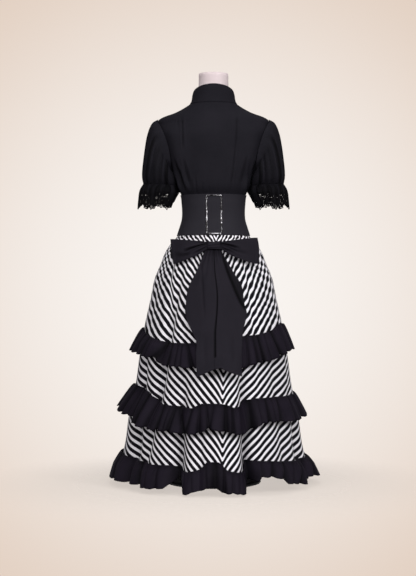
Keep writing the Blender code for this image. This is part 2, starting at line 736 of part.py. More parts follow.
def make_form_torso():
    """The smooth limbless form, closed flat under the hips and at the neck."""
    angles = form_angles()
    rows = [[read_ring(FORM_HIPS, angle, height) for angle in angles] for height in FORM_HIPS.keys()]
    chest = ARMHOLE_HEIGHTS[:-1:2]
    for height in [CORSET_BOTTOM, *LOWER_HEIGHTS, *chest, ARMHOLE_TOP, *UPPER_HEIGHTS[:-1]]:
        inward = LAYER + TORSO.read("ease", height)
        rows.append([torso(angle, height, -inward) for angle in angles])
    rows += [[read_ring(FORM_NECK, angle, height) for angle in angles] for height in FORM_NECK.keys()]
    shape = loft(rows, round_about=True)
    bmesh.ops.holes_fill(shape, edges=shape.edges)
    bmesh.ops.recalc_face_normals(shape, faces=shape.faces)
    place("form_torso", shape, "form_linen")


def make_form_stand():
    """Pole and round base plate under the torso."""
    shape = bmesh.new()
    bmesh.ops.create_cone(shape, cap_ends=True, segments=16, radius1=POLE_RADIUS, radius2=POLE_RADIUS,
                          depth=FORM_BOTTOM - BASE_THICKNESS - 2 * SEAM)
    pole = place("form_pole", shape, "form_metal")
    pole.location.z = (FORM_BOTTOM + BASE_THICKNESS) / 2
    shape = bmesh.new()
    bmesh.ops.create_cone(shape, cap_ends=True, segments=32, radius1=BASE_RADIUS, radius2=BASE_RADIUS,
                          depth=BASE_THICKNESS)
    base = place("form_base", shape, "form_metal")
    base.location.z = BASE_THICKNESS / 2
    rounded = base.modifiers.new("edge", "BEVEL")
    rounded.width = BASE_EDGE
    rounded.segments = 2


def main():
    for old in list(bpy.data.objects):
        bpy.data.objects.remove(old)
    for name in ("corset_dress", "cutters"):
        collection = bpy.data.collections.get(name) or bpy.data.collections.new(name)
        if name not in bpy.context.scene.collection.children:
            bpy.context.scene.collection.children.link(collection)
    make_form_torso()
    make_form_stand()
    make_bodice()
    make_placket()
    make_collar()
    for side, hand in ((-1, "left"), (1, "right")):
        make_sleeve(side, hand)
        make_sleeve_lace(side, hand)
        make_bow_loop(side, hand)
        make_bow_tail(side, hand)
    make_corset()
    make_corset_frame()
    make_skirt()
    make_ruffles()
    make_bow_knot()


main()
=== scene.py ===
"""Looks of the corset dress on its limbless dress form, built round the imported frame.

Metres, +Z up. The dress's back faces -Y and the camera looks at it along +Y.
An angle runs round the body from the centre back (0) over +X (90) to the centre front (180).
Cloth is made as nets of points, rows by columns, a few millimetres apart, and then thickened.
"""
import math

import bpy
import numpy as np
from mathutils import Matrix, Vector


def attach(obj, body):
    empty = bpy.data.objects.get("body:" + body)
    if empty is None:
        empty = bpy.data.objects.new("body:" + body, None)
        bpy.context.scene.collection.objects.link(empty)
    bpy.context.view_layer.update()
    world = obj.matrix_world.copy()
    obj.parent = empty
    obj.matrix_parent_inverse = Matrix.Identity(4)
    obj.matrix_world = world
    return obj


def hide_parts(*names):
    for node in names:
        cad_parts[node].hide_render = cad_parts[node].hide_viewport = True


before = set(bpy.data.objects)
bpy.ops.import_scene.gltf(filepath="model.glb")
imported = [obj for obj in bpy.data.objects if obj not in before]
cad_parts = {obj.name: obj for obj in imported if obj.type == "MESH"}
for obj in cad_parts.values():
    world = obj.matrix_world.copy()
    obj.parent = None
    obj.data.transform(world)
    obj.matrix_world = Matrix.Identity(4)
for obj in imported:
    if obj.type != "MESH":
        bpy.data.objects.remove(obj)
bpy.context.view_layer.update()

# Walls and clearances, as in the CAD source
SEAM = 0.0003
BODICE_WALL = 0.0012
CORSET_WALL = 0.0025
SKIRT_WALL = 0.0015
RUFFLE_WALL = 0.0015
BOW_WALL = 0.0020
COLLAR_WALL = 0.0018
LACE_WALL = 0.0010
LAYER = 0.0008

WAIST_SEAM = 0.945
CORSET_BOTTOM = 0.886
CORSET_TOP = 1.034
CORSET_LIFT = SKIRT_WALL + LAYER
CORSET_SHEET = CORSET_WALL - 0.0002
NECK_BASE = 1.360
ARMHOLE_TOP = 1.303
ARMHOLE_BOTTOM = 1.108
FORM_TOP = 1.470
HEM = 0.075
ARMHOLE_MIDDLE = (ARMHOLE_TOP + ARMHOLE_BOTTOM) / 2
ARMHOLE_REACH = (ARMHOLE_TOP - ARMHOLE_BOTTOM) / 2


class Table:
    """Rows of named columns, read smoothly along the first column."""

    def __init__(self, columns, rows):
        self.columns = columns.split()
        self.rows = np.array(sorted(rows), dtype=float)

    def keys(self):
        return self.rows[:, 0]

    def read(self, column, key):
        keys = self.rows[:, 0]
        values = self.rows[:, self.columns.index(column)]
        slopes = np.gradient(values, keys)
        key = np.asarray(key, dtype=float)
        spot = np.clip(np.searchsorted(keys, key) - 1, 0, len(keys) - 2)
        span = keys[spot + 1] - keys[spot]
        part = np.clip((key - keys[spot]) / span, 0.0, 1.0)
        rise, fall = part ** 3 - 2 * part ** 2 + part, part ** 3 - part ** 2
        step = 3 * part ** 2 - 2 * part ** 3
        start, end = values[spot], values[spot + 1]
        return start + (end - start) * step + span * (slopes[spot] * rise + slopes[spot + 1] * fall)


class Outline:
    """Seam and lower edge of a ruffle, read along straight lines between (angle, height) points."""

    def __init__(self, seam, edge):
        self.lines = {"seam": np.array(seam), "edge": np.array(edge)}

    def read(self, line, angle):
        angles, heights = self.lines[line].T
        return np.interp((angle + 180) % 360 - 180, angles, heights)


# Inner face of the bodice; ease is the room between it and the form
TORSO = Table("height half_width back_depth front_depth ease", [
    (0.886, 0.1280, 0.098, 0.104, 0.000),
    (0.915, 0.1185, 0.088, 0.095, 0.000),
    (0.945, 0.1100, 0.080, 0.088, 0.000),
    (0.961, 0.1085, 0.079, 0.088, 0.000),
    (1.000, 0.1100, 0.082, 0.095, 0.000),
    (1.034, 0.1150, 0.087, 0.104, 0.000),
    (1.058, 0.1280, 0.099, 0.116, 0.004),
    (1.082, 0.1375, 0.104, 0.126, 0.006),
    (1.108, 0.1455, 0.106, 0.133, 0.007),
    (1.150, 0.1580, 0.107, 0.133, 0.007),
    (1.206, 0.1740, 0.108, 0.118, 0.007),
    (1.255, 0.1880, 0.104, 0.098, 0.005),
    (1.285, 0.1955, 0.096, 0.083, 0.005),
    (1.303, 0.1965, 0.088, 0.075, 0.002),
    (1.313, 0.1800, 0.083, 0.071, 0.0006),
    (1.326, 0.1430, 0.077, 0.068, 0.000),
    (1.341, 0.1130, 0.072, 0.066, 0.000),
    (1.352, 0.0950, 0.070, 0.066, 0.000),
    (1.360, 0.0835, 0.069, 0.066, 0.000),
    (1.365, 0.0800, 0.0665, 0.0640, 0.000),
])
NECK_TUCK = 0.0045

# The form's hips and neck, beyond the bodice
FORM_HIPS = Table("height half_width back_depth front_depth", [
    (0.700, 0.1400, 0.112, 0.108),
    (0.715, 0.1450, 0.117, 0.112),
    (0.780, 0.1460, 0.118, 0.112),
    (0.840, 0.1400, 0.109, 0.108),
])
FORM_NECK = Table("height half_width back_depth front_depth", [
    (1.359, 0.0780, 0.064, 0.061),
    (1.375, 0.0640, 0.058, 0.058),
    (1.400, 0.0560, 0.054, 0.054),
    (1.430, 0.0535, 0.053, 0.053),
    (1.470, 0.0530, 0.053, 0.053),
])

# Stand collar, from its seam to its top edge, which rises at the back and dips at the front
COLLAR = Table("part half_width depth", [
    (0.00, 0.0838, 0.0690),
    (0.14, 0.0798, 0.0680),
    (0.40, 0.0768, 0.0672),
    (0.80, 0.0745, 0.0676),
    (1.00, 0.0722, 0.0672),
])
COLLAR_SIDE_TOP = 1.398
COLLAR_BACK_RISE = 0.029
COLLAR_FRONT_DROP = 0.010

# Inner face of the striped skirt below the corset
SKIRT = Table("height half_width back_depth front_depth", [
    (0.075, 0.333, 0.336, 0.310),
    (0.140, 0.317, 0.322, 0.295),
    (0.240, 0.303, 0.304, 0.280),
    (0.350, 0.279, 0.276, 0.258),
    (0.460, 0.264, 0.254, 0.240),
    (0.560, 0.247, 0.232, 0.222),
    (0.660, 0.225, 0.205, 0.197),
    (0.740, 0.208, 0.180, 0.173),
    (0.790, 0.187, 0.157, 0.150),
    (0.820, 0.176, 0.142, 0.138),
    (0.850, 0.159, 0.124, 0.122),
    (0.886, 0.128, 0.098, 0.104),
])

# Deep folds of the skirt: each fades in below its top, leans from one angle to another on the way
# down, and keeps a share of its depth at the hem; upper and lower angle, spread, depth, top, share
SKIRT_FOLDS = [
    (-66, -59, 5.5, 0.030, 0.50, 1.0),
    (-33, -48, 4.0, 0.036, 0.80, 0.5),
    (-22, -22, 4.2, 0.044, 0.42, 1.0),
    (-8, -8, 2.2, 0.012, 0.30, 1.0),
    (21, 21, 3.8, 0.048, 0.50, 1.0),
    (34, 34, 5.0, 0.006, 0.30, 1.0),
    (50, 50, 6.0, 0.014, 0.55, 1.0),
    (70, 68, 5.5, 0.022, 0.36, 1.0),
    (112, 112, 6.0, 0.032, 0.62, 1.0),
    (136, 136, 5.5, 0.036, 0.70, 1.0),
    (158, 158, 5.0, 0.030, 0.45, 1.0),
    (-159, -159, 5.5, 0.034, 0.50, 1.0),
    (-138, -138, 5.0, 0.030, 0.66, 1.0),
    (-113, -113, 6.0, 0.034, 0.58, 1.0),
]

# Seam and lower edge of each ruffle tier round the skirt, uneven as it is sewn and hangs
RUFFLE_UPPER = Outline(
    seam=[(-180, 0.552), (-135, 0.556), (-95, 0.558), (-76, 0.557), (-68, 0.541), (-50, 0.522),
          (-38, 0.511), (-18, 0.511), (0, 0.518), (23, 0.535), (34, 0.538), (50, 0.550), (68, 0.576),
          (90, 0.572), (135, 0.560), (180, 0.552)],
    edge=[(-180, 0.472), (-160, 0.466), (-135, 0.476), (-110, 0.470), (-88, 0.478), (-80, 0.478),
          (-63, 0.468), (-47, 0.459), (-43, 0.445), (-38, 0.436), (-17, 0.429), (0, 0.424), (22, 0.429),
          (27, 0.440), (40, 0.449), (54, 0.462), (71, 0.485), (90, 0.482), (112, 0.472), (135, 0.476),
          (158, 0.466), (180, 0.472)])
RUFFLE_MIDDLE = Outline(
    seam=[(-180, 0.335), (-135, 0.342), (-90, 0.358), (-75, 0.358), (-52, 0.342), (-45, 0.317),
          (-36, 0.302), (-22, 0.296), (-15, 0.292), (-8, 0.308), (4, 0.308), (9, 0.303), (14, 0.292),
          (19, 0.298), (23, 0.317), (29, 0.323), (48, 0.323), (90, 0.325), (135, 0.338), (180, 0.335)],
    edge=[(-180, 0.250), (-158, 0.258), (-135, 0.262), (-112, 0.268), (-92, 0.279), (-84, 0.279),
          (-75, 0.262), (-62, 0.254), (-59, 0.238), (-53, 0.227), (-43, 0.218), (-29, 0.215),
          (-19, 0.206), (-9, 0.211), (-3, 0.228), (1, 0.223), (5, 0.218), (11, 0.208), (20, 0.208),
          (24, 0.220), (27, 0.233), (31, 0.243), (43, 0.243), (68, 0.239), (80, 0.247), (92, 0.249),
          (112, 0.252), (135, 0.256), (158, 0.246), (180, 0.250)])
RUFFLE_HEM = Outline(
    seam=[(-180, 0.102), (-135, 0.110), (-90, 0.119), (-82, 0.118), (-60, 0.107), (-39, 0.098),
          (-27, 0.100), (-23, 0.093), (-20, 0.083), (-15, 0.080), (-8, 0.090), (-4, 0.116), (3, 0.114),
          (5, 0.104), (8, 0.086), (14, 0.079), (19, 0.080), (20.5, 0.116), (27, 0.115), (44, 0.106),
          (56, 0.101), (90, 0.101), (135, 0.108), (180, 0.102)],
    edge=[(-180, 0.018), (-166, 0.034), (-160, 0.014), (-140, 0.026), (-135, 0.012), (-112, 0.030),
          (-106, 0.016), (-90, 0.028), (-79, 0.029), (-61, 0.025), (-47, 0.026), (-43.5, 0.020),
          (-35, 0.021), (-28, 0.025), (-22, 0.056), (-18.3, 0.056), (-17.3, 0.008), (-15, 0.008),
          (-10, 0.020), (-1.5, 0.032), (3, 0.023), (5.5, 0.012), (10, 0.014), (16, 0.008),
          (20.3, 0.007), (21, 0.050), (25, 0.047), (27, 0.062), (31, 0.063), (41, 0.050), (43, 0.034),
          (61, 0.020), (63, 0.034), (68, 0.040), (86, 0.033), (106, 0.018), (112, 0.034), (135, 0.014),
          (140, 0.028), (158, 0.012), (166, 0.030), (180, 0.018)])

# Troughs of each tier: angle at the seam and at the lower edge, share of the full depth, and width
UPPER_TROUGHS = [
    (-84, -85, 0.7, 2.2), (-76, -78, 0.8, 1.8), (-66, -69, 0.7, 1.6), (-58, -60, 0.9, 1.5),
    (-54, -54, 0.5, 1.1), (-39, -46, 1.0, 2.4), (-32, -32, 0.8, 1.2), (-27, -27, 0.4, 1.0),
    (-24, -23, 0.4, 1.0), (-20, -14, 0.9, 1.5), (-8, -8, 0.6, 1.6), (3, 3, 0.6, 1.6),
    (14, 14, 0.6, 1.6), (25, 24, 0.5, 1.2), (31, 31, 0.8, 1.2), (35, 36, 1.0, 1.4), (42, 43, 0.4, 1.2),
    (50, 55, 1.0, 1.6), (62, 64, 0.5, 1.4), (72, 75, 0.8, 1.8), (84, 85, 0.7, 1.8),
]
MIDDLE_TROUGHS = [
    (-81, -83, 0.7, 1.8), (-70, -73, 0.9, 1.8), (-64, -66, 0.5, 1.2), (-57, -60, 0.9, 1.4),
    (-50, -54, 1.0, 1.5), (-43, -46, 0.6, 1.1), (-39, -40, 0.4, 0.9), (-34, -35, 0.9, 1.3),
    (-30, -31, 0.4, 0.9), (-26, -28, 0.9, 1.3), (-24, -18, 1.0, 1.5), (-14, -17, 0.8, 1.2),
    (-9, -9, 0.8, 1.2), (-5, -3, 0.7, 1.0), (0, -3, 0.6, 1.0), (7.6, 7, 1.0, 1.8), (12, 11, 0.8, 1.1),
    (18, 17, 0.4, 1.0), (24.5, 24, 1.0, 1.8), (30, 30, 0.4, 1.0), (36.5, 35, 0.9, 1.3),
    (42, 40, 0.4, 1.0), (49, 44, 0.9, 1.3), (62, 60, 0.6, 1.6), (74, 74, 0.8, 1.6), (85, 86, 0.7, 1.6),
]
HEM_TROUGHS = [
    (-77, -73, 0.9, 1.6), (-62, -60, 0.5, 1.3), (-50, -46, 1.0, 1.7), (-42, -40, 0.3, 1.0),
    (-34, -33, 0.5, 1.2), (-23, -21, 1.0, 3.0), (-13, -12, 0.3, 1.0), (-5, -4, 0.4, 0.9),
    (1, 0.5, 1.0, 2.6), (6, 5.5, 0.8, 1.0), (11, 10, 0.4, 0.9), (15, 14, 0.3, 0.9),
    (22, 21.5, 1.0, 2.2), (29, 27, 0.5, 1.1), (37, 33, 0.9, 1.3), (46, 41, 0.9, 1.4),
    (55, 50, 0.4, 1.0), (64, 55, 0.9, 1.3), (72, 63, 0.8, 1.2), (81, 75, 0.9, 1.8),
]
TROUGH_STEP = 7.5

# Rings of a sleeve: outermost and innermost point, and half depth front to back
SLEEVE_RINGS = [
    (0.2215, 1.2870, 0.1525, 1.1040, 0.066),
    (0.2385, 1.2420, 0.1525, 1.0960, 0.074),
    (0.2500, 1.1680, 0.1500, 1.0870, 0.078),
    (0.2555, 1.1080, 0.1465, 1.0780, 0.070),
    (0.2500, 1.0740, 0.1450, 1.0690, 0.055),
]
SLEEVE_RUFFLE_RINGS = [
    (0.2500, 1.0737, 0.1450, 1.0687, 0.055),
    (0.2620, 1.0560, 0.1440, 1.0530, 0.062),
    (0.2670, 1.0400, 0.1430, 1.0380, 0.066),
]
SLEEVE_LACE_RINGS = [
    (0.2670, 1.0395, 0.1430, 1.0375, 0.066),
    (0.2690, 1.0200, 0.1440, 1.0190, 0.067),
    (0.2700, 1.0120, 0.1445, 1.0110, 0.068),
    (0.2715, 0.9950, 0.1450, 0.9950, 0.068),
]
SLEEVE_LIFT = 0.0006
UNDERARM_LIFT = 0.0008
LACE_UNITS = 14
LACE_MESHES = 84
LACE_STEPS = 5
LACE_MESH_HEIGHT = 0.0040

# Edges of the bow's tails down the back, the fold over the right one, the width of the slit between
# them, and how far they stand off the skirt
TAILS = Table("height left_edge slit right_edge fold gap lift", [
    (0.8365, -0.031, 0.0007, 0.026, 0.020, 0.0060, 0.0002),
    (0.829, -0.033, 0.0007, 0.028, 0.022, 0.0060, 0.0006),
    (0.795, -0.045, 0.0015, 0.046, 0.033, 0.0060, 0.0030),
    (0.752, -0.062, 0.0035, 0.070, 0.047, 0.0065, 0.0055),
    (0.710, -0.084, 0.0085, 0.096, 0.064, 0.0070, 0.0070),
    (0.683, -0.092, 0.0110, 0.101, 0.075, 0.0075, 0.0080),
    (0.645, -0.096, 0.0110, 0.106, 0.093, 0.0080, 0.0090),
    (0.612, -0.098, 0.0092, 0.114, 0.114, 0.0085, 0.0100),
    (0.583, -0.090, 0.0065, 0.108, 0.122, 0.0095, 0.0120),
    (0.550, -0.074, 0.0035, 0.100, 0.130, 0.0105, 0.0180),
    (0.519, -0.060, 0.0030, 0.097, 0.135, 0.0115, 0.0270),
    (0.475, -0.060, 0.0030, 0.096, 0.135, 0.0130, 0.0420),
    (0.439, -0.059, 0.0030, 0.097, 0.135, 0.0130, 0.0500),
    (0.405, -0.058, 0.0030, 0.097, 0.135, 0.0130, 0.0520),
])
# Lower edge of the tails, as distances from the centre back
TAIL_HEM = [(-0.060, 0.399), (-0.045, 0.405), (-0.020, 0.417), (0.004, 0.426), (0.022, 0.430), (0.045, 0.419),
            (0.070, 0.409), (0.100, 0.400)]
SLIT_END = 0.4535
TAIL_CLOTH = 0.0011
TAIL_RISE = 0.0040
TAIL_START = 0.829
TAIL_LOW = 0.405

# A loop of the bow from the knot to its outer fold, as distances from the centre back
LOOP = Table("along outer_y inner_y bottom top", [
    (0.010, -0.1470, -0.1410, 0.8370, 0.8610),
    (0.022, -0.1490, -0.1420, 0.8368, 0.8612),
    (0.045, -0.1600, -0.1430, 0.8230, 0.8640),
    (0.080, -0.1660, -0.1430, 0.8080, 0.8665),
    (0.115, -0.1600, -0.1390, 0.7950, 0.8690),
    (0.142, -0.1480, -0.1340, 0.7850, 0.8710),
])
LOOP_FOLD_REACH = 0.0105
# Folds of each loop: distance out and share of the height at both ends, depth and width
LOOP_FOLDS = {
    "left": [(0.030, 0.72, 0.112, 0.42, 0.0052, 0.050), (0.088, 0.22, 0.150, 0.34, 0.0026, 0.080),
             (0.030, 0.34, 0.075, 0.16, 0.0034, 0.060), (0.024, 0.88, 0.060, 0.80, 0.0018, 0.050)],
    "right": [(0.026, 0.78, 0.092, 0.50, 0.0052, 0.050), (0.032, 0.26, 0.070, 0.26, 0.0036, 0.060),
              (0.060, 0.42, 0.120, 0.30, 0.0018, 0.070), (0.024, 0.92, 0.050, 0.86, 0.0016, 0.050)],
}
LOOP_SLANT = {"left": 0.010, "right": 0.000}
LOOP_RAISE = {"left": 0.000, "right": 0.005}
LOOP_BULGE = {"left": 0.001, "right": 0.006}
KNOT_CENTRE = (0.001, -0.1442, 0.849)
KNOT_HALF_LENGTH = 0.021
KNOT_HALF_DEPTH = 0.0100
KNOT_HALF_HEIGHT = 0.0135

# Centre-back panel of the corset and its shiny frame, as distances from the centre back
PANEL_LEFT = -0.0265
PANEL_RIGHT = 0.0300
FRAME_BAR = 0.0055
FRAME_INSET = 0.002
PIPING_SIDES = 14

# Stripes of the skirt, cut on the slant so that they meet in a chevron at the centre back
STRIPE_RISE = 1.02
STRIPE_PERIOD = 0.0302
WHITE_SHARE = 0.43
CHEVRON_DRIFT = Table("height aside", [
    (0.075, 0.034), (0.300, 0.034), (0.450, 0.026), (0.650, 0.008), (0.886, 0.000), (0.945, 0.000),
])
# How much wider the cut cloth is than the gathered skirt, which steepens the stripes near the waist
FULLNESS = Table("height left right", [
    (0.075, 1.20, 1.18), (0.450, 1.20, 1.15), (0.560, 1.22, 1.06), (0.660, 1.24, 1.02),
    (0.740, 1.24, 1.04), (0.820, 1.24, 1.12), (0.860, 1.24, 1.30), (0.945, 1.24, 1.50),
])
# Least share of the cloth's run that the stripes count where the skirt turns to the sides
STRIPE_TURN = 0.42
# The chevron is steeper near its middle, where the seam's gathers take up cloth
CHEVRON_TAKE = 0.014
CHEVRON_REACH = 0.018


def blend_step(value, start, end):
    """A smooth step from 0 at start to 1 at end."""
    part = np.clip((value - start) / (end - start), 0.0, 1.0)
    return part * part * (3 - 2 * part)


# Materials

# Colour that cloth is darkened towards in its folds: painted shade, read through each net's "deep" value
PAINTED_SHADE_COLOUR = (0.0010, 0.0008, 0.0015, 1)
STRIPE_DARK = (0.0048, 0.0036, 0.0064, 1)
STRIPE_EDGE = 0.012


def new_material(name):
    made = bpy.data.materials.new(name)
    made.use_nodes = True
    return made, made.node_tree.nodes, made.node_tree.links


def add_node(nodes, kind, inputs=None, **settings):
    """A shader node with its settings made first and then its unlinked inputs."""
    node = nodes.new(kind)
    for key, value in settings.items():
        setattr(node, key, value)
    for key, value in (inputs or {}).items():
        node.inputs[key].default_value = value
    return node


def stored_value(nodes, name):
    """Reads what a net stores at its points for the material."""
    return add_node(nodes, "ShaderNodeAttribute", attribute_name=name)


def math_node(nodes, links, operation, first, second=None, third=None):
    node = add_node(nodes, "ShaderNodeMath", operation=operation)
    for socket, value in zip(node.inputs, (first, second, third)):
        if value is None:
            continue
        if isinstance(value, (int, float)):
            socket.default_value = value
        else:
            links.new(value, socket)
    return node.outputs[0]


def mixed(nodes, links, factor, colour, other):
    """A linked colour mixed with a fixed one."""
    mix = add_node(nodes, "ShaderNodeMix", {"B": other}, data_type="RGBA")
    links.new(factor, mix.inputs["Factor"])
    links.new(colour, mix.inputs["A"])
    return mix.outputs["Result"]


def mottled_colour(nodes, links, dark, light, scale):
    """Two close colours mixed in soft patches."""
    place = nodes.new("ShaderNodeTexCoord")
    noise = add_node(nodes, "ShaderNodeTexNoise", {"Scale": scale, "Detail": 4.0})
    links.new(place.outputs["Object"], noise.inputs["Vector"])
    ramp = nodes.new("ShaderNodeValToRGB")
    for element, position, colour in zip(ramp.color_ramp.elements, (0.32, 0.68), (dark, light)):
        element.position = position
        element.color = (*colour, 1)
    links.new(noise.outputs["Fac"], ramp.inputs["Fac"])
    return ramp.outputs["Color"], noise.outputs["Fac"]


def bump_normal(nodes, links, height, strength, distance):
    bump = add_node(nodes, "ShaderNodeBump", {"Strength": strength, "Distance": distance})
    links.new(height, bump.inputs["Height"])
    return bump.outputs["Normal"]


def woven_normal(nodes, links, thread, relief):
    """Bump of crossing threads, laid along the cloth's own two directions."""
    split = nodes.new("ShaderNodeSeparateXYZ")
    links.new(stored_value(nodes, "cloth").outputs["Vector"], split.inputs[0])
    waves = []
    for direction in ("X", "Y"):
        angle = math_node(nodes, links, "MULTIPLY", split.outputs[direction], 2 * math.pi / thread)
        waves.append(math_node(nodes, links, "SINE", angle))
    crossing = math_node(nodes, links, "MULTIPLY", *waves)
    return bump_normal(nodes, links, crossing, relief, thread * 0.25)


def painted_fold_shade(nodes, links, colour, share):
    """A colour darkened towards painted shade in the bottom of folds, where the cloth's "deep" value is high.
    """
    factor = math_node(nodes, links, "MULTIPLY", stored_value(nodes, "deep").outputs["Fac"], share)
    return mixed(nodes, links, factor, colour, PAINTED_SHADE_COLOUR)


def cloth_material(name, dark, light, roughness, thread, relief, sheen, sheen_tint, patch=14.0, painted_shade_share=0.94):
    """Woven cloth: two close colours in patches, painted shade in the bottom of folds, threads in relief, and
    a sheen at grazing angles.
    """
    made, nodes, links = new_material(name)
    shader = nodes["Principled BSDF"]
    colour, patches = mottled_colour(nodes, links, dark, light, patch)
    links.new(painted_fold_shade(nodes, links, colour, painted_shade_share), shader.inputs["Base Color"])
    rough = math_node(nodes, links, "MULTIPLY_ADD", patches, 0.12, roughness - 0.06)
    links.new(rough, shader.inputs["Roughness"])
    links.new(woven_normal(nodes, links, thread, relief), shader.inputs["Normal"])
    shader.inputs["Specular IOR Level"].default_value = 0.07
    shader.inputs["Sheen Weight"].default_value = sheen
    shader.inputs["Sheen Roughness"].default_value = 0.45
    shader.inputs["Sheen Tint"].default_value = (*sheen_tint, 1)
    return made


def striped_material(name):
    """Cloth with slanting stripes, read from the cloth's own stripe phase."""
    # The white is darkened by painted shade in the folds, at a smaller share than plain cloth
    made = cloth_material(name, (0.90, 0.87, 0.92), (0.95, 0.92, 0.97), 0.72, 0.0011, 0.25,
                          0.03, (0.9, 0.9, 1.0), painted_shade_share=0.45)
    nodes, links = made.node_tree.nodes, made.node_tree.links
    shader = nodes["Principled BSDF"]
    white = shader.inputs["Base Color"].links[0].from_socket
    whole = math_node(nodes, links, "FRACT", stored_value(nodes, "stripe").outputs["Fac"])
    from_middle = math_node(nodes, links, "ABSOLUTE", math_node(nodes, links, "SUBTRACT", whole, 0.5))
    edge = add_node(nodes, "ShaderNodeMapRange", {"From Min": WHITE_SHARE / 2 - STRIPE_EDGE,
                                                  "From Max": WHITE_SHARE / 2 + STRIPE_EDGE})
    links.new(from_middle, edge.inputs["Value"])
    links.new(mixed(nodes, links, edge.outputs["Result"], white, STRIPE_DARK), shader.inputs["Base Color"])
    return made


def gloss_material(name, colour, roughness):
    """Glossy piping with a slightly uneven surface, which breaks its reflections."""
    made, nodes, links = new_material(name)
    shader = nodes["Principled BSDF"]
    tone, patches = mottled_colour(nodes, links, tuple(c * 0.1 for c in colour), colour, 70.0)
    links.new(tone, shader.inputs["Base Color"])
    links.new(bump_normal(nodes, links, patches, 1.0, 0.0030), shader.inputs["Normal"])
    shader.inputs["Roughness"].default_value = roughness
    shader.inputs["Metallic"].default_value = 1.0
    return made


def painted_material(name, colour):
    made, nodes, links = new_material(name)
    shader = nodes["Principled BSDF"]
    tone, patches = mottled_colour(nodes, links, colour, tuple(c * 1.25 for c in colour), 40.0)
    links.new(tone, shader.inputs["Base Color"])
    shader.inputs["Metallic"].default_value = 0.6
    links.new(math_node(nodes, links, "MULTIPLY_ADD", patches, 0.2, 0.25), shader.inputs["Roughness"])
    return made


BODICE_CLOTH = cloth_material("bodice_crepe", (0.0098, 0.0090, 0.0128), (0.0130, 0.0118, 0.0162),
                              0.72, 0.0009, 0.35, 0.012, (0.75, 0.75, 0.85))
CORSET_CLOTH = cloth_material("corset_sateen", (0.0212, 0.0196, 0.0255), (0.0248, 0.0230, 0.0292),
                              0.60, 0.0008, 0.18, 0.012, (0.8, 0.8, 0.9), patch=9.0)
RUFFLE_CLOTH = cloth_material("ruffle_poplin", (0.0105, 0.0080, 0.0142), (0.0150, 0.0112, 0.0192),
                              0.66, 0.0010, 0.30, 0.010, (0.75, 0.65, 0.85))
BOW_CLOTH = cloth_material("bow_poplin", (0.0132, 0.0114, 0.0164), (0.0160, 0.0138, 0.0196),
                           0.68, 0.0010, 0.30, 0.010, (0.8, 0.78, 0.88))
LACE_CLOTH = cloth_material("lace_thread", (0.0042, 0.0038, 0.0054), (0.0070, 0.0064, 0.0086),
                            0.72, 0.0006, 0.50, 0.02, (0.8, 0.8, 0.9), patch=60.0)
LINEN = cloth_material("form_linen", (0.690, 0.580, 0.590), (0.760, 0.650, 0.662),
                       0.85, 0.0012, 0.45, 0.05, (1.0, 0.95, 0.95), patch=22.0)
STRIPES = striped_material("striped_cotton")
GLOSS = gloss_material("frame_gloss", (0.36, 0.35, 0.37), 0.13)
METAL = painted_material("stand_metal", (0.055, 0.055, 0.060))


# Meshes from nets of points

def ring_point(angle, height, half_width, back_depth, front_depth):
    turn = np.radians(angle)
    depth = np.where(np.cos(turn) > 0, back_depth, front_depth)
    return np.stack([half_width * np.sin(turn), -depth * np.cos(turn), height + 0 * turn], -1)


def read_ring(table, angle, height):
    return ring_point(angle, height, table.read("half_width", height),
                      table.read("back_depth", height), table.read("front_depth", height))


def turns(columns):
    return np.arange(columns) * 2 * np.pi / columns


def unit(vectors):
    return vectors / np.maximum(np.linalg.norm(vectors, axis=-1, keepdims=True), 1e-12)


def outward(net, closed=False):
    """Unit normals of a net whose rows go up and whose columns go towards larger angles."""
    if closed:
        wrapped = np.concatenate([net[:, -1:], net, net[:, :1]], axis=1)
        around = np.gradient(wrapped, axis=1)[:, 1:-1]
    else:
        around = np.gradient(net, axis=1)
    upward = np.gradient(net, axis=0)
    return unit(np.cross(around, upward))


def outward_at(surface, angle, height, step):
    """Unit normals of a surface that gives a point for each angle and height."""
    around = surface(angle + step, height) - surface(angle - step, height)
    upward = surface(angle, height + 0.001) - surface(angle, height - 0.001)
    return unit(np.cross(around, upward))


def lengths_along(net, axis):
    """Running length of cloth along a net's rows (axis 1) or columns (axis 0)."""
    steps = np.linalg.norm(np.diff(net, axis=axis), axis=-1)
    pad = [(0, 0), (0, 0)]
    pad[axis] = (1, 0)
    return np.cumsum(np.pad(steps, pad), axis=axis)


def cloth_lengths(net):
    """Each point's place on the cloth, laid flat."""
    return np.stack([lengths_along(net, 1), lengths_along(net, 0), np.zeros(net.shape[:2])], -1).reshape(-1, 3)


def refine(rows, per_step):
    """Catmull-Rom points between rows of points; per_step new rows for each old one."""
    rows = np.asarray(rows, dtype=float)
    padded = np.concatenate([[2 * rows[0] - rows[1]], rows, [2 * rows[-1] - rows[-2]]])
    made = []
    for spot in range(len(padded) - 3):
        before, start, end, after = padded[spot:spot + 4]
        for step in range(per_step):
            t = step / per_step
            made.append(0.5 * (2 * start + (end - before) * t
                               + (2 * before - 5 * start + 4 * end - after) * t ** 2
                               + (3 * start - before - 3 * end + after) * t ** 3))
    made.append(rows[-1])
    return np.array(made)


def piece_from(name, points, faces, material, values=None):
    """A shown mesh, with values stored for its material."""
    mesh = bpy.data.meshes.new(name)
    mesh.from_pydata(points.tolist(), [], faces)
    mesh.update()
    for key, array in (values or {}).items():
        kind = "FLOAT" if array.ndim == 1 else "FLOAT_VECTOR"
        stored = mesh.attributes.new(key, kind, "POINT")
        stored.data.foreach_set("value" if array.ndim == 1 else "vector",
                                array.astype(np.float32).ravel())
    mesh.shade_smooth()
    mesh.materials.append(material)
    made = bpy.data.objects.new(name, mesh)
    bpy.context.scene.collection.objects.link(made)
    return made


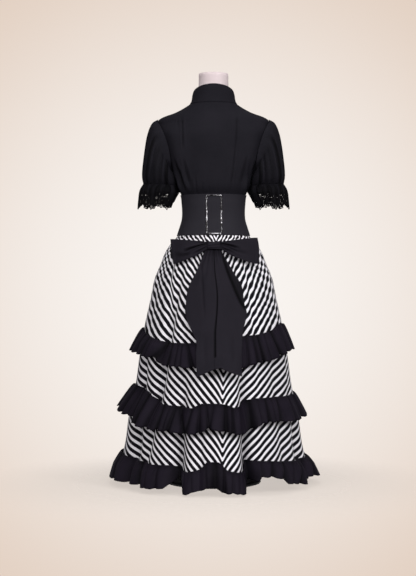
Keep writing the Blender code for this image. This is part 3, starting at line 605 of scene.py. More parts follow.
def net_faces(rows, columns, closed=False, skip=None, first=0):
    faces = []
    for row in range(rows - 1):
        for column in range(columns if closed else columns - 1):
            if skip is not None and skip[row, column]:
                continue
            beside = (column + 1) % columns
            low, high = first + row * columns, first + (row + 1) * columns
            faces.append((low + column, low + beside, high + beside, high + column))
    return faces


def thicken(piece, wall):
    solid = piece.modifiers.new("wall", "SOLIDIFY")
    solid.thickness = wall
    solid.offset = -1.0
    return piece


def finish_piece(piece, nodes):
    """Ride the root body and stand for the CAD nodes."""
    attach(piece, "root")
    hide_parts(*nodes)


def finish_cloth(piece, nodes):
    """Finish a piece."""
    finish_piece(piece, nodes)


def cloth_net(name, net, wall, material, closed=False, skip=None, extra=None):
    """A piece from one net on the cloth's outer face, thickened inwards."""
    values = {"cloth": cloth_lengths(net)}
    for key, array in (extra or {}).items():
        values[key] = array.ravel()
    faces = net_faces(*net.shape[:2], closed, skip)
    return thicken(piece_from(name, net.reshape(-1, 3), faces, material, values), wall)


def crease(across, along, start, end, depth, width):
    """A soft trough from start to end, as points of (across, along), with a ridge on either side."""
    fade, ridge = 0.25, 0.75
    start, end = np.array(start, float), np.array(end, float)
    line = end - start
    length = np.linalg.norm(line)
    line /= length
    part = ((across - start[0]) * line[0] + (along - start[1]) * line[1]) / length
    aside = (across - start[0]) * line[1] - (along - start[1]) * line[0]
    ends = blend_step(part, -fade, fade) * (1 - blend_step(part, 1 - fade, 1 + fade))
    wide = width * (0.8 + 0.4 * np.clip(part, 0, 1))
    trough = np.exp(-(aside / wide) ** 2)
    ridges = np.exp(-((np.abs(aside) - 2.1 * wide) / (1.1 * wide)) ** 2)
    return depth * ends * (ridge * ridges - trough)


# Form

def torso(angle, height):
    return read_ring(TORSO, angle, height)


# Rings of the form's two ends, as shares of the last ring
FORM_CAP_SHARES = [0.96, 0.9, 0.6, 0.25]
FORM_UNDER_SHARES = [0.1, 0.5, 0.92, 0.985]


def make_form():
    """Limbless form, closed under the hips and at the neck, in linen with a sewn top cap."""
    angles = np.arange(0, 360, 4.0)
    rows = [read_ring(FORM_HIPS, angles, height) for height in FORM_HIPS.keys()]
    chest = TORSO.keys()[:-2]
    body = np.array([torso(angles, height) for height in chest])
    inward = LAYER + 0.0002 + TORSO.rows[:-2, -1]
    body = body - outward(body, closed=True) * inward[:, None, None]
    rows += list(body)
    rows += [read_ring(FORM_NECK, angles, height) for height in FORM_NECK.keys()]
    net = refine(rows, 4)
    cap = (net[-1] - [0, 0, FORM_TOP]) * np.array(FORM_CAP_SHARES)[:, None, None]
    cap[:, :, 2] = FORM_TOP
    base_level = net[0, 0, 2]
    under = (net[0] - [0, 0, base_level]) * np.array(FORM_UNDER_SHARES)[:, None, None]
    under[:, :, 2] += base_level
    net = np.concatenate([under, net, cap])
    rows, columns = net.shape[:2]
    faces = net_faces(rows, columns, closed=True)
    points = np.concatenate([net.reshape(-1, 3), [[0, 0, base_level], [0, 0, FORM_TOP]]])
    low, high = rows * columns, rows * columns + 1
    last = (rows - 1) * columns
    for column in range(columns):
        beside = (column + 1) % columns
        faces.append((low, beside, column))
        faces.append((high, last + column, last + beside))
    cloth = np.concatenate([cloth_lengths(net), np.zeros((2, 3))])
    made = piece_from("form_body", points, faces, LINEN, {"cloth": cloth})
    finish_piece(made, ["form_torso"])


def lathe(name, profile, node, columns):
    """A turned piece from (radius, height) pairs, closed at both ends on its axis."""
    net = np.array([[(radius * math.cos(turn), radius * math.sin(turn), height) for turn in turns(columns)]
                    for radius, height in profile])
    ends = [tuple(reversed(range(columns))), tuple((len(profile) - 1) * columns + c for c in range(columns))]
    made = piece_from(name, net.reshape(-1, 3), net_faces(len(profile), columns, closed=True) + ends, METAL)
    finish_piece(made, [node])


def make_stand():
    base = [(0.030, 0.0), (0.163, 0.0), (0.168, 0.0015), (0.170, 0.005), (0.1695, 0.009), (0.166, 0.0125),
            (0.158, 0.0150), (0.120, 0.0165), (0.060, 0.0175), (0.034, 0.0180), (0.020, 0.0180)]
    lathe("stand_base", base, "form_base", 96)
    pole = [(0.0158, 0.0183), (0.0158, 0.36), (0.0158, 0.670), (0.0160, 0.690), (0.0160, 0.6997)]
    lathe("stand_pole", pole, "form_pole", 40)


# Bodice

# The bodice's opening is this share of the armhole, so that its cloth runs on under the sleeve's edge
BODICE_HOLE = 0.88
SEAM_HALF_ANGLE = 24.0


def armhole_angle(height):
    """How far the bodice's opening reaches either side of the side seam."""
    reach = (height - ARMHOLE_MIDDLE) / (ARMHOLE_TOP - ARMHOLE_BOTTOM) * 2 / BODICE_HOLE
    return SEAM_HALF_ANGLE * BODICE_HOLE * np.sqrt(np.clip(1 - reach * reach, 0, 1))


BODICE_BOTTOM = WAIST_SEAM + 0.004
BRIDGE_BACK = 0.019
BRIDGE_FRONT = 0.013
# Folds of the back, seen from behind: two tucks from the shoulders and pulls under the arms;
# x and z of the start, x and z of the end, depth and width
BACK_CREASES = [
    (-0.1115, 1.312, -0.1085, 1.205, 0.0026, 0.0028),
    (-0.1270, 1.300, -0.1270, 1.275, 0.0014, 0.0026),
    (0.0840, 1.318, 0.0790, 1.215, 0.0026, 0.0028),
    (0.0790, 1.215, 0.0600, 1.045, 0.0022, 0.0028),
    (-0.1500, 1.120, -0.1180, 1.042, 0.0060, 0.0050),
    (-0.1340, 1.142, -0.0940, 1.038, 0.0058, 0.0046),
    (-0.1180, 1.120, -0.1040, 1.052, 0.0030, 0.0040),
    (-0.1060, 1.150, -0.0850, 1.070, 0.0020, 0.0048),
    (0.1500, 1.120, 0.1220, 1.042, 0.0060, 0.0050),
    (0.1460, 1.140, 0.1120, 1.038, 0.0056, 0.0046),
    (0.1260, 1.120, 0.1180, 1.050, 0.0030, 0.0040),
    (0.1160, 1.160, 0.0960, 1.070, 0.0018, 0.0050),
    (-0.0400, 1.075, -0.0380, 1.030, 0.0016, 0.0030),
    (-0.0160, 1.066, -0.0160, 1.030, 0.0013, 0.0028),
    (0.0140, 1.070, 0.0130, 1.030, 0.0013, 0.0028),
    (0.0400, 1.080, 0.0380, 1.030, 0.0016, 0.0030),
    (-0.0640, 1.090, -0.0600, 1.030, 0.0018, 0.0034),
]
# The front has the same pulls under the arms, and darts under the bust
FRONT_CREASES = [
    (-0.1500, 1.130, -0.1160, 1.042, 0.0050, 0.0055),
    (-0.1280, 1.150, -0.0880, 1.036, 0.0042, 0.0050),
    (0.1500, 1.130, 0.1160, 1.042, 0.0050, 0.0055),
    (0.1300, 1.150, 0.0920, 1.036, 0.0042, 0.0050),
    (-0.0660, 1.110, -0.0580, 1.036, 0.0024, 0.0032),
    (0.0660, 1.110, 0.0580, 1.036, 0.0024, 0.0032),
    (-0.1100, 1.300, -0.0960, 1.230, 0.0014, 0.0045),
    (0.1100, 1.300, 0.0960, 1.230, 0.0014, 0.0045),
    (-0.0350, 1.070, -0.0340, 1.030, 0.0014, 0.0030),
    (0.0360, 1.072, 0.0340, 1.030, 0.0014, 0.0030),
]


def blouse(angle, height):
    """The bodice's inner face: the torso, with cloth bridging level from back and chest to the sleeves."""
    point = torso(angle, height)
    from_middle = np.abs((angle + 90) % 180 - 90)
    reach = blend_step(from_middle, 24, 60) * (1 - blend_step(from_middle, 70, 88))
    reach = reach * blend_step(height, 1.085, 1.165) * (1 - blend_step(height, 1.245, 1.300))
    point[..., 1] += reach * np.where(np.cos(np.radians(angle)) > 0, -BRIDGE_BACK, BRIDGE_FRONT)
    return point


def bodice_heights():
    reach = ARMHOLE_REACH * BODICE_HOLE
    lower = np.linspace(BODICE_BOTTOM, ARMHOLE_MIDDLE - reach, 42)[:-1]
    turn = np.linspace(0, np.pi, 42)
    upper = np.linspace(ARMHOLE_MIDDLE + reach, NECK_BASE, 17)[1:]
    tucked = [NECK_BASE + NECK_TUCK / 2, NECK_BASE + NECK_TUCK]
    return np.concatenate([lower, ARMHOLE_MIDDLE - reach * np.cos(turn), upper, tucked])


def bodice_half(centre, creases):
    """Outer face of the back (centre 0) or front (centre 180), from armhole to armhole, and the painted shade
    of its creases.
    """
    heights = bodice_heights()[:, None]
    across = np.linspace(-1, 1, 111)[None, :]
    angles = centre + across * (90 - armhole_angle(heights))
    heights = heights + 0 * across
    net = blouse(angles, heights)
    x = net[:, :, 0]
    out = np.full(x.shape, BODICE_WALL)
    for start_x, start_z, end_x, end_z, depth, width in creases:
        out = out + crease(x, heights, (start_x, start_z), (end_x, end_z), depth, width)
    # The blouse swells a little over the corset's top edge
    swell = blend_step(heights, CORSET_TOP + 0.001, CORSET_TOP + 0.014)
    swell = swell * (1 - blend_step(heights, CORSET_TOP + 0.02, CORSET_TOP + 0.06))
    out = out + 0.002 * swell
    open_edge = np.minimum(1 - np.abs(across), 0.06) / 0.06
    kept = (armhole_angle(heights) > 0) * (1 - open_edge)
    tight = blend_step(heights, CORSET_TOP - 0.004, CORSET_TOP + 0.012)
    neck = 1 - blend_step(heights, NECK_BASE - 0.03, NECK_BASE - 0.005)
    out = BODICE_WALL + (out - BODICE_WALL) * (1 - kept) * tight * neck
    limit = -0.6 * TORSO.read("ease", heights)
    out = np.maximum(out, limit + BODICE_WALL)
    # Painted shade in the bottom of the creases
    deep = np.clip((BODICE_WALL - out) / 0.0045, 0, 1)
    return net + outward(net) * out[:, :, None], deep


def make_bodice():
    (back, back_painted_shade), (front, front_painted_shade) = bodice_half(0, BACK_CREASES), bodice_half(180, FRONT_CREASES)
    rows, columns = back.shape[:2]
    # One sheet where both halves meet: they share their side seams under and over the armholes
    joined = armhole_angle(bodice_heights()) <= 0
    for row in np.nonzero(joined)[0]:
        for own, other in ((-1, 0), (0, -1)):
            seam = (back[row, own] + front[row, other]) / 2
            back[row, own] = front[row, other] = seam
    faces = net_faces(rows, columns) + net_faces(rows, columns, first=rows * columns)
    points = np.concatenate([back.reshape(-1, 3), front.reshape(-1, 3)])
    names = {}
    for row in np.nonzero(joined)[0]:
        names[rows * columns + row * columns] = row * columns + columns - 1
        names[rows * columns + row * columns + columns - 1] = row * columns
    faces = [tuple(names.get(corner, corner) for corner in face) for face in faces]
    used = sorted({corner for face in faces for corner in face})
    fresh = {old: new for new, old in enumerate(used)}
    faces = [tuple(fresh[corner] for corner in face) for face in faces]
    cloth = np.concatenate([cloth_lengths(back), cloth_lengths(front)])
    deep = np.concatenate([back_painted_shade.ravel(), front_painted_shade.ravel()])
    made = piece_from("bodice_shell", points[used], faces, BODICE_CLOTH,
                      {"cloth": cloth[used], "deep": deep[used]})
    thicken(made, BODICE_WALL)
    finish_cloth(made,
                 ["bodice_back_centre", "bodice_back_left", "bodice_back_right",
                  "bodice_front_left", "bodice_front_right"])


def make_collar():
    angles = np.arange(0, 360, 2.5)
    lean = np.cos(np.radians(angles))
    top = COLLAR_SIDE_TOP + np.where(lean > 0, COLLAR_BACK_RISE, COLLAR_FRONT_DROP) * lean
    lower = NECK_BASE + BODICE_WALL + SEAM
    net = []
    for part in np.linspace(0, 1, 18):
        half_width = COLLAR.read("half_width", part) + COLLAR_WALL
        depth = COLLAR.read("depth", part) + COLLAR_WALL
        net.append(ring_point(angles, lower + (top - lower) * part, half_width, depth, depth))
    net = np.array(net)
    made = cloth_net("collar_stand", net, COLLAR_WALL, BODICE_CLOTH, closed=True)
    finish_cloth(made, ["collar"])


def make_placket():
    heights = np.linspace(CORSET_TOP + 0.012, NECK_BASE - 0.003, 90)[:, None]
    angles = np.linspace(-6, 6, 17)[None, :] + 180
    net = torso(angles + 0 * heights, heights + 0 * angles)
    aside = np.abs(angles - 180) / 6
    edge = 0.0006 * np.exp(-((aside - 0.86) / 0.05) ** 2)
    lift = BODICE_WALL * 2 + LAYER - edge
    net = net + outward(net) * (lift + 0 * heights)[:, :, None]
    made = cloth_net("placket_strip", net, BODICE_WALL, BODICE_CLOTH)
    finish_cloth(made, ["placket"])


# Sleeves

# Folds down a sleeve: turn at the shoulder and at the elastic, depth and width; 0 is the outer side,
# pi / 2 the back, pi the inner side
SLEEVE_FOLDS = [
    (0.42, 0.40, 0.0028, 0.09), (1.16, 0.84, 0.0086, 0.075), (1.52, 1.42, 0.0022, 0.10),
    (1.74, 1.72, 0.0034, 0.085), (2.00, 2.02, 0.0078, 0.080), (2.52, 2.62, 0.0040, 0.10),
    (3.20, 3.30, 0.0030, 0.12), (3.76, 3.62, 0.0044, 0.10), (4.16, 4.28, 0.0064, 0.080),
    (4.74, 4.66, 0.0026, 0.10), (5.06, 5.40, 0.0070, 0.075), (5.80, 5.88, 0.0030, 0.09),
]
SLEEVE_GAP = 0.0032
# Share of painted shade laid over the sleeves, partly for their own darker, thinner crepe and partly for the
# shade they hang in
SLEEVE_SHADE = 0.42
SLEEVE_POINTS = 240
SLEEVE_WRAP = 0.016
FRILL_FLARE = 0.0042


def armhole_ring(side, columns):
    """The armhole's edge from the shoulder round the back to the underarm and up the front."""
    turn = turns(columns)
    height = ARMHOLE_MIDDLE + ARMHOLE_REACH * np.cos(turn)
    open_angle = SEAM_HALF_ANGLE * np.abs(np.sin(turn))
    angle = side * np.where(turn <= np.pi, 90 - open_angle, 90 + open_angle)
    lowness = (1 - np.cos(turn)) / 2
    lift = BODICE_WALL * 2 + SLEEVE_LIFT + UNDERARM_LIFT * lowness
    return blouse(angle, height) + outward_at(blouse, angle, height, 0.5) * lift[:, None]


def sleeve_ring(side, row, columns):
    outer_x, outer_z, inner_x, inner_z, half_depth = row
    turn = turns(columns)
    outer = np.array([side * outer_x, 0, outer_z])
    inner = np.array([side * inner_x, 0, inner_z])
    centre, reach = (outer + inner) / 2, (outer - inner) / 2
    swell = 1 + BODICE_WALL / half_depth
    ring = centre + reach * (np.cos(turn) * swell)[:, None]
    ring[:, 1] -= half_depth * np.sin(turn) * swell
    return ring


def wrap_body(net, side, amount):
    """Draw a sleeve's inner side towards the body and lay it there, just clear of the bodice."""
    turn = turns(net.shape[1])
    inner = np.clip(-np.cos(turn), 0, 1)[None, :] ** 0.7
    net = net.copy()
    net[:, :, 0] -= side * amount * inner
    height = net[:, :, 2]
    half_width = TORSO.read("half_width", height) + TORSO.read("ease", height)
    depth = np.where(net[:, :, 1] < 0, TORSO.read("back_depth", height), TORSO.read("front_depth", height))
    clear = BODICE_WALL * 2 + SLEEVE_GAP
    ratio = np.hypot(net[:, :, 0] / (half_width + clear), net[:, :, 1] / (depth + clear))
    push = np.where(height > CORSET_TOP, np.maximum(1 / np.maximum(ratio, 1e-6), 1), 1)
    return np.concatenate([net[:, :, :2] * push[:, :, None], net[:, :, 2:]], axis=2)


def facing_out(net, side):
    """Columns in the order that makes the faces look out of the tube, whichever side it is on."""
    return net[::-1] if side > 0 else net[::-1, ::-1]


def tube_normal(net, side):
    return -outward(net, closed=True) if side > 0 else outward(net, closed=True)


def sleeve_folds(turn, part, share):
    """Relief of the folds that run down a whole sleeve, through its elastic and frill."""
    out = np.zeros(np.broadcast(turn, part).shape)
    for top, low, deep, width in SLEEVE_FOLDS:
        away = np.abs((turn - top - (low - top) * part + np.pi) % (2 * np.pi) - np.pi)
        out = out - deep * share * np.exp(-(away / width) ** 1.7)
        out = out + 0.35 * deep * share * np.exp(-((away - 2.2 * width) / (1.4 * width)) ** 2)
    return out


def sleeve_tube(name, net, deep, side, wall, material, skip=None):
    """A piece of a sleeve from its net, with the painted shade of its folds."""
    extra = {"deep": facing_out(np.clip(deep, 0, 1), side)}
    return cloth_net(name, facing_out(net, side), wall, material, closed=True, skip=skip, extra=extra)


def make_sleeve(side, hand):
    columns = SLEEVE_POINTS
    turn = turns(columns)[None, :]
    rings = [armhole_ring(side, columns)] + [sleeve_ring(side, row, columns) for row in SLEEVE_RINGS]
    net = refine(rings, 9)
    part = np.linspace(0, 1, len(net))[:, None]
    wrapped = wrap_body(net, side, SLEEVE_WRAP)
    net = net + (wrapped - net) * blend_step(part, 0.10, 0.40)[:, :, None]
    share = blend_step(part, 0.02, 0.55) * (1 - 0.30 * blend_step(part, 0.8, 1.0))
    out = sleeve_folds(turn, part, share)
    head = 1 - blend_step(part, 0.02, 0.34)
    crown = np.clip(np.cos(turn), 0, 1) ** 0.5
    ripples = np.sin(36 * turn + 1.4 * np.sin(5 * turn))
    out += 0.0005 * head ** 2 * crown * ripples * blend_step(part, 0.0, 0.05)
    out += elastic_puckers(turn) * blend_step(part, 0.72, 1.0)
    net = net + tube_normal(net, side) * out[:, :, None]
    # Painted shade over the sleeve below its head and in the bottom of its folds
    deep = SLEEVE_SHADE * blend_step(part, 0.0, 0.35) - out / 0.0080
    made = sleeve_tube("sleeve_puff_" + hand, net, deep, side, BODICE_WALL, BODICE_CLOTH)
    finish_cloth(made, ["sleeve_" + hand])

    net = refine([sleeve_ring(side, row, columns) for row in SLEEVE_RUFFLE_RINGS], 8)
    part = np.linspace(0, 1, len(net))[:, None]
    net = wrap_body(net, side, SLEEVE_WRAP + 0.004 * np.sin(np.pi * part))
    out = sleeve_frill(turn, part)
    net = net + tube_normal(net, side) * out[:, :, None]
    net[:, :, 2] -= frill_drop(turn) * part
    # Painted shade over the frill and in the bottom of its folds
    deep = SLEEVE_SHADE + 0.2 + (FRILL_FLARE * part - out) / 0.0060
    made = sleeve_tube("sleeve_frill_" + hand, net, deep, side, BODICE_WALL, BODICE_CLOTH)
    finish_cloth(made, ["sleeve_ruffle_" + hand])


def elastic_puckers(turn):
    return 0.0011 * np.sin(33 * turn + 1.8 * np.sin(4 * turn)) * (0.6 + 0.4 * np.sin(7 * turn + 1))


FRILL_FOLDS = [(0.15, 0.7), (0.55, 1.0), (0.94, 1.5), (1.26, 0.7), (1.60, 1.3), (1.88, 1.0), (2.14, 1.3),
               (2.50, 0.8), (2.84, 1.0), (3.24, 0.8), (3.62, 1.2), (3.95, 0.7), (4.30, 1.2), (4.66, 0.8),
               (5.02, 0.7), (5.38, 1.3), (5.74, 0.8), (6.02, 0.9)]


def sleeve_frill(turn, part):
    """Waves of the frill and lace below the sleeve's elastic, growing towards the edge."""
    out = sleeve_folds(turn, 1.0 + 0 * part, 0.70 * (1 - 0.5 * part)) + elastic_puckers(turn) * (1 - part)
    for spot, share in FRILL_FOLDS:
        away = np.abs((turn - spot + np.pi) % (2 * np.pi) - np.pi)
        out = out - 0.0074 * share * part ** 0.8 * np.exp(-(away / 0.075) ** 1.7)
    return out + FRILL_FLARE * part


def frill_drop(turn):
    """Uneven drop of the frill's lower edge."""
    return 0.0030 * np.sin(5 * turn + 1.1) + 0.0018 * np.sin(13 * turn + 0.4)


def lace_holes(turn, drop, rows, columns):
    """True for each face where the lace net is open; drop is the distance below its top edge."""
    across = turn * LACE_MESHES / (2 * np.pi)
    mesh_row = drop / LACE_MESH_HEIGHT
    offset = across + 0.5 * (np.floor(mesh_row) % 2)
    hole = (np.abs(offset % 1 - 0.5) < 0.26) & (np.abs(mesh_row % 1 - 0.5) < 0.27)
    worn = np.random.default_rng(3).uniform(size=(rows, columns // LACE_STEPS)).repeat(LACE_STEPS, axis=1)
    return hole & (drop > 0.003) & (worn < 0.5)


def make_lace(side, hand):
    columns = LACE_STEPS * LACE_MESHES
    turn = turns(columns)[None, :]
    net = refine([sleeve_ring(side, row, columns) for row in SLEEVE_LACE_RINGS], 12)
    part = np.linspace(0, 1, len(net))[:, None]
    net = wrap_body(net, side, SLEEVE_WRAP - 0.024 * part ** 0.7)
    drop = net[0, :, 2] - net[:, :, 2]
    out = sleeve_frill(turn, 1.0 + 0.25 * part)
    net = net + tube_normal(net, side) * out[:, :, None]
    scallop = 0.005 * (0.5 - 0.5 * np.cos(2 * LACE_UNITS * turn))
    net[:, :, 2] -= part * scallop + frill_drop(turn) * (1 + 0.6 * part)
    motif = np.exp(-((part - 0.50) / 0.16) ** 2) * (0.5 + 0.5 * np.cos(LACE_UNITS * turn))
    skip = lace_holes(turn, drop, len(net), columns) & (motif < 0.70) & (part < 0.97)
    skip = facing_out(skip[:-1], side)
    if side < 0:
        skip = np.roll(skip, -1, axis=1)
    # Painted shade over the lace and in the bottom of its waves
    deep = 0.35 + (0.0050 - out) / 0.0060
    made = sleeve_tube("sleeve_lace_" + hand, net, deep, side, LACE_WALL, LACE_CLOTH, skip=skip)
    finish_cloth(made, ["sleeve_lace_back_" + hand, "sleeve_lace_front_" + hand])


# Corset

CORSET_SEAMS = (-118, -90, -62, 62, 90, 118, 150, -150)


def corset_angle(distance, height):
    half_width = TORSO.read("half_width", height) + CORSET_LIFT
    return np.degrees(np.arcsin(distance / half_width))


def corset_net(start, end, rows, columns, lift):
    heights = np.linspace(CORSET_BOTTOM, CORSET_TOP, rows)[:, None]
    first = corset_angle(start, heights) if abs(start) < 1 else start + 0 * heights
    last = corset_angle(end, heights) if abs(end) < 1 else end + 0 * heights
    angles = first + (last - first) * np.linspace(0, 1, columns)[None, :]
    heights = heights + 0 * angles
    net = torso(angles, heights)
    out = lift(angles, heights) if callable(lift) else np.full(angles.shape, lift)
    return net + outward(net) * out[:, :, None]


def corset_relief(angles, heights):
    """Outer face: bound edges and flat boned seams at the sides and front."""
    out = np.full(angles.shape, CORSET_LIFT + CORSET_WALL)
    from_edge = np.minimum(heights - CORSET_BOTTOM, CORSET_TOP - heights)
    out -= 0.0007 * np.exp(-((from_edge - 0.0065) / 0.0009) ** 2)
    for seam in CORSET_SEAMS:
        out -= 0.0006 * np.exp(-((angles - seam) / 0.55) ** 2)
    rounded = 1 - np.clip(from_edge / 0.0012, 0, 1)
    return out - 0.0006 * rounded ** 2


def make_corset():
    for name, node, start, end in (("corset_band_left", "corset_left", -180, PANEL_LEFT),
                                   ("corset_band_right", "corset_right", PANEL_RIGHT, 180)):
        net = corset_net(start, end, 52, 130, corset_relief)
        made = cloth_net(name, net, CORSET_SHEET, CORSET_CLOTH)
        finish_cloth(made, [node])
    net = corset_net(PANEL_LEFT + SEAM, PANEL_RIGHT - SEAM, 60, 26, CORSET_LIFT + CORSET_WALL)
    made = cloth_net("corset_panel", net, CORSET_SHEET, CORSET_CLOTH)
    finish_cloth(made, ["corset_back_panel"])


def make_frame():
    """Shiny piping round the centre-back panel, rounded and a little uneven."""
    middle_x = (PANEL_LEFT + PANEL_RIGHT) / 2
    half_x = (PANEL_RIGHT - PANEL_LEFT) / 2 - FRAME_BAR / 2
    middle_z = (CORSET_TOP + CORSET_BOTTOM) / 2
    half_z = (CORSET_TOP - CORSET_BOTTOM) / 2 - FRAME_INSET - FRAME_BAR / 2
    corner = 0.004
    path = []
    for sign_x, sign_z, first in ((1, 1, 0), (-1, 1, 90), (-1, -1, 180), (1, -1, 270)):
        for turn in np.radians(np.linspace(first, first + 90, 7)):
            path.append((middle_x + sign_x * (half_x - corner) + corner * math.cos(turn),
                         middle_z + sign_z * (half_z - corner) + corner * math.sin(turn)))
    dense = []
    for here, beside in zip(path, path[1:] + path[:1]):
        steps = max(1, int(math.dist(here, beside) / 0.0018))
        dense += [(here[0] + (beside[0] - here[0]) * k / steps, here[1] + (beside[1] - here[1]) * k / steps)
                  for k in range(steps)]
    flat = np.array(dense)
    flat_next = np.roll(flat, -1, axis=0) - np.roll(flat, 1, axis=0)
    flat_next /= np.linalg.norm(flat_next, axis=1, keepdims=True)
    aside = np.stack([flat_next[:, 1], -flat_next[:, 0]], -1)
    length = np.cumsum(np.linalg.norm(np.diff(flat, axis=0, prepend=flat[:1]), axis=1))
    lump = 1 + 0.10 * np.sin(length * 420) * np.sin(length * 173) + 0.06 * np.sin(length * 800)
    rings = []
    for k in range(PIPING_SIDES):
        turn = 2 * math.pi * k / PIPING_SIDES
        spread = FRAME_BAR / 2 * 0.93 * math.cos(turn) * lump
        where = flat + aside * spread[:, None]
        angle = corset_angle(where[:, 0], where[:, 1])
        high = CORSET_LIFT + CORSET_WALL + LAYER + 0.0009 + 0.0009 * math.sin(turn) * lump
        normal = outward_at(torso, angle, where[:, 1], 0.4)
        rings.append(torso(angle, where[:, 1]) + normal * np.asarray(high)[:, None])
    net = np.array(rings).transpose(1, 0, 2)
    count = len(flat)
    faces = []
    for ring in range(count):
        here, after = ring * PIPING_SIDES, (ring + 1) % count * PIPING_SIDES
        for k in range(PIPING_SIDES):
            beside = (k + 1) % PIPING_SIDES
            faces.append((here + k, here + beside, after + beside, after + k))
    made = piece_from("corset_piping", net.reshape(-1, 3), faces, GLOSS)
    finish_piece(made, ["corset_frame"])


# Skirt and ruffles

def fold_depth(angle, height):
    """How far the skirt's cloth is drawn in by its deep folds."""
    depth = np.zeros(np.broadcast(angle, height).shape)
    for high_angle, low_angle, spread, deep, top, hem_share in SKIRT_FOLDS:
        fade = np.clip((top - height) / (top - HEM), 0, 1)
        lean = high_angle + (low_angle - high_angle) * fade
        away = np.abs((angle - lean + 180) % 360 - 180) / spread
        kept = 1 - (1 - hem_share) * blend_step(fade, 0.55, 1.0)
        depth = depth + deep * kept * fade ** 0.6 * np.exp(-away ** 1.6)
    return depth


GATHER_COUNT = 62
# One long gather on the left hip, placed as listed: angle, depth, length, slant and cloth taken up
HIP_GATHER = (-52, 0.0060, 0.34, 15, 0.0110)


def seeded_gathers():
    """Small gathers all round the waist, from a fixed seed, and the one listed."""
    draw = np.random.default_rng(11)
    angles = (np.arange(GATHER_COUNT) + draw.uniform(-0.3, 0.3, GATHER_COUNT)) * 360 / GATHER_COUNT - 180
    ranges = ((0.0018, 0.0050), (0.14, 0.42), (-4.0, 4.0), (0.0010, 0.0050))
    columns = [angles] + [draw.uniform(low, high, GATHER_COUNT) for low, high in ranges]
    return list(zip(*columns)) + [HIP_GATHER]


GATHERS = seeded_gathers()


def waist_gathers(angle, height, centre):
    """Depth of the small gathers that start under the corset, and the cloth that they take up."""
    depth = np.zeros(np.broadcast(angle, height).shape)
    taken = np.zeros(depth.shape)
    start = 1 - blend_step(height, CORSET_BOTTOM - 0.022, CORSET_BOTTOM - 0.001)
    for where, deep, length, slant, take in GATHERS:
        hip = 1.5 if 20 < where < 85 else 1.0
        down = np.clip((CORSET_BOTTOM - height) / (length * hip), 0, 1)
        away = (angle - where - slant * down + 180) % 360 - 180
        width = 1.3 + 1.3 * down
        drawn = (1 - down) ** 0.7
        depth = depth + deep * start * drawn * np.exp(-(away / width) ** 2)
        if abs((where - centre + 180) % 360 - 180) < 95:
            pull = 2.4 if hip > 1 else 1.3
            taken = taken + take * pull * drawn ** 0.6 * np.tanh(away / (0.6 * width))
    return depth, taken


def skirt(angle, height, out=0.0, centre=None):
    """A face of the skirt, moved out level with the floor; with a centre, gathered at the waist."""
    low = read_ring(SKIRT, angle, np.minimum(height, CORSET_BOTTOM))
    high = read_ring(TORSO, angle, np.maximum(height, CORSET_BOTTOM))
    point = np.where((height < CORSET_BOTTOM)[..., None], low, high)
    level = point.copy()
    level[..., 2] = 0
    away = np.where(height < CORSET_BOTTOM, fold_depth(angle, height), 0.0)
    if centre is not None:
        away = away + np.where(height < CORSET_BOTTOM, waist_gathers(angle, height, centre)[0], 0.0)
    return point + unit(level) * (out - away)[..., None]


def skirt_heights():
    below = np.linspace(HEM, CORSET_BOTTOM, 136)
    above = np.linspace(CORSET_BOTTOM, WAIST_SEAM - 3 * SEAM, 6)[1:]
    return np.concatenate([below, above])


def make_skirt():
    heights = skirt_heights()[:, None]
    middle = read_ring(SKIRT, 0 * heights[:, 0], np.minimum(heights[:, 0], CORSET_BOTTOM))
    middle[:, 2] = heights[:, 0]
    rise = np.concatenate([[0], np.cumsum(np.linalg.norm(np.diff(middle, axis=0), axis=1))])[:, None]
    for name, centre, columns in (("skirt_back", 0, 221), ("skirt_front", 180, 171)):
        angles = np.linspace(-90, 90, columns)[None, :] + centre
        grid_angle, grid_height = np.broadcast_arrays(angles, heights)
        net = skirt(grid_angle, grid_height, np.full(grid_angle.shape, SKIRT_WALL), centre)
        turned = np.maximum(np.cos(np.radians(grid_angle - centre)), STRIPE_TURN)
        steps = np.linalg.norm(np.diff(net, axis=1), axis=-1) * (turned[:, 1:] + turned[:, :-1]) / 2
        run = np.cumsum(np.pad(steps, ((0, 0), (1, 0))), axis=1)
        middle_column = columns // 2
        run = run - run[:, middle_column:middle_column + 1]
        full = np.where(run < 0, FULLNESS.read("left", heights), FULLNESS.read("right", heights))
        gathered, taken = waist_gathers(grid_angle, grid_height, centre)
        run = run * full + taken
        if centre == 0:
            run = run - CHEVRON_DRIFT.read("aside", heights)
        across = np.abs(run)
        steep = CHEVRON_TAKE * np.tanh(across / CHEVRON_REACH)
        phase = (rise - (across + steep) * STRIPE_RISE) / STRIPE_PERIOD
        # Painted shade in the skirt's deep folds and in the gathers under the corset
        deep = fold_depth(grid_angle, grid_height) / 0.045 + gathered / 0.008
        made = cloth_net(name, net, SKIRT_WALL, STRIPES,
                         extra={"stripe": phase, "deep": np.clip(deep, 0, 1) ** 1.5})
        finish_cloth(made, [name + "_left", name + "_right"])


def tier_troughs(troughs, seed):
    """The troughs listed for the back, and others like them round the sides and front."""
    draw = np.random.default_rng(seed)
    rows = list(troughs)
    for spot in np.arange(95, 266, TROUGH_STEP):
        seam = spot + draw.uniform(-2.2, 2.2)
        rows.append((seam, seam + draw.uniform(-3, 3), draw.uniform(0.4, 1.0), draw.uniform(1.1, 2.2)))
    return rows


def gather_waves(angle, part, troughs, widened=1.0):
    """Height of a ruffle's waves, from 0 in a trough to 1 on a crest."""
    high = np.ones(angle.shape)
    for seam, edge, share, width in troughs:
        away = np.abs((angle - seam - (edge - seam) * part + 180) % 360 - 180)
        wide = widened * width * (0.55 + 0.45 * part)
        high = high * (1 - share * np.exp(-(away / wide) ** 1.7))
    return high


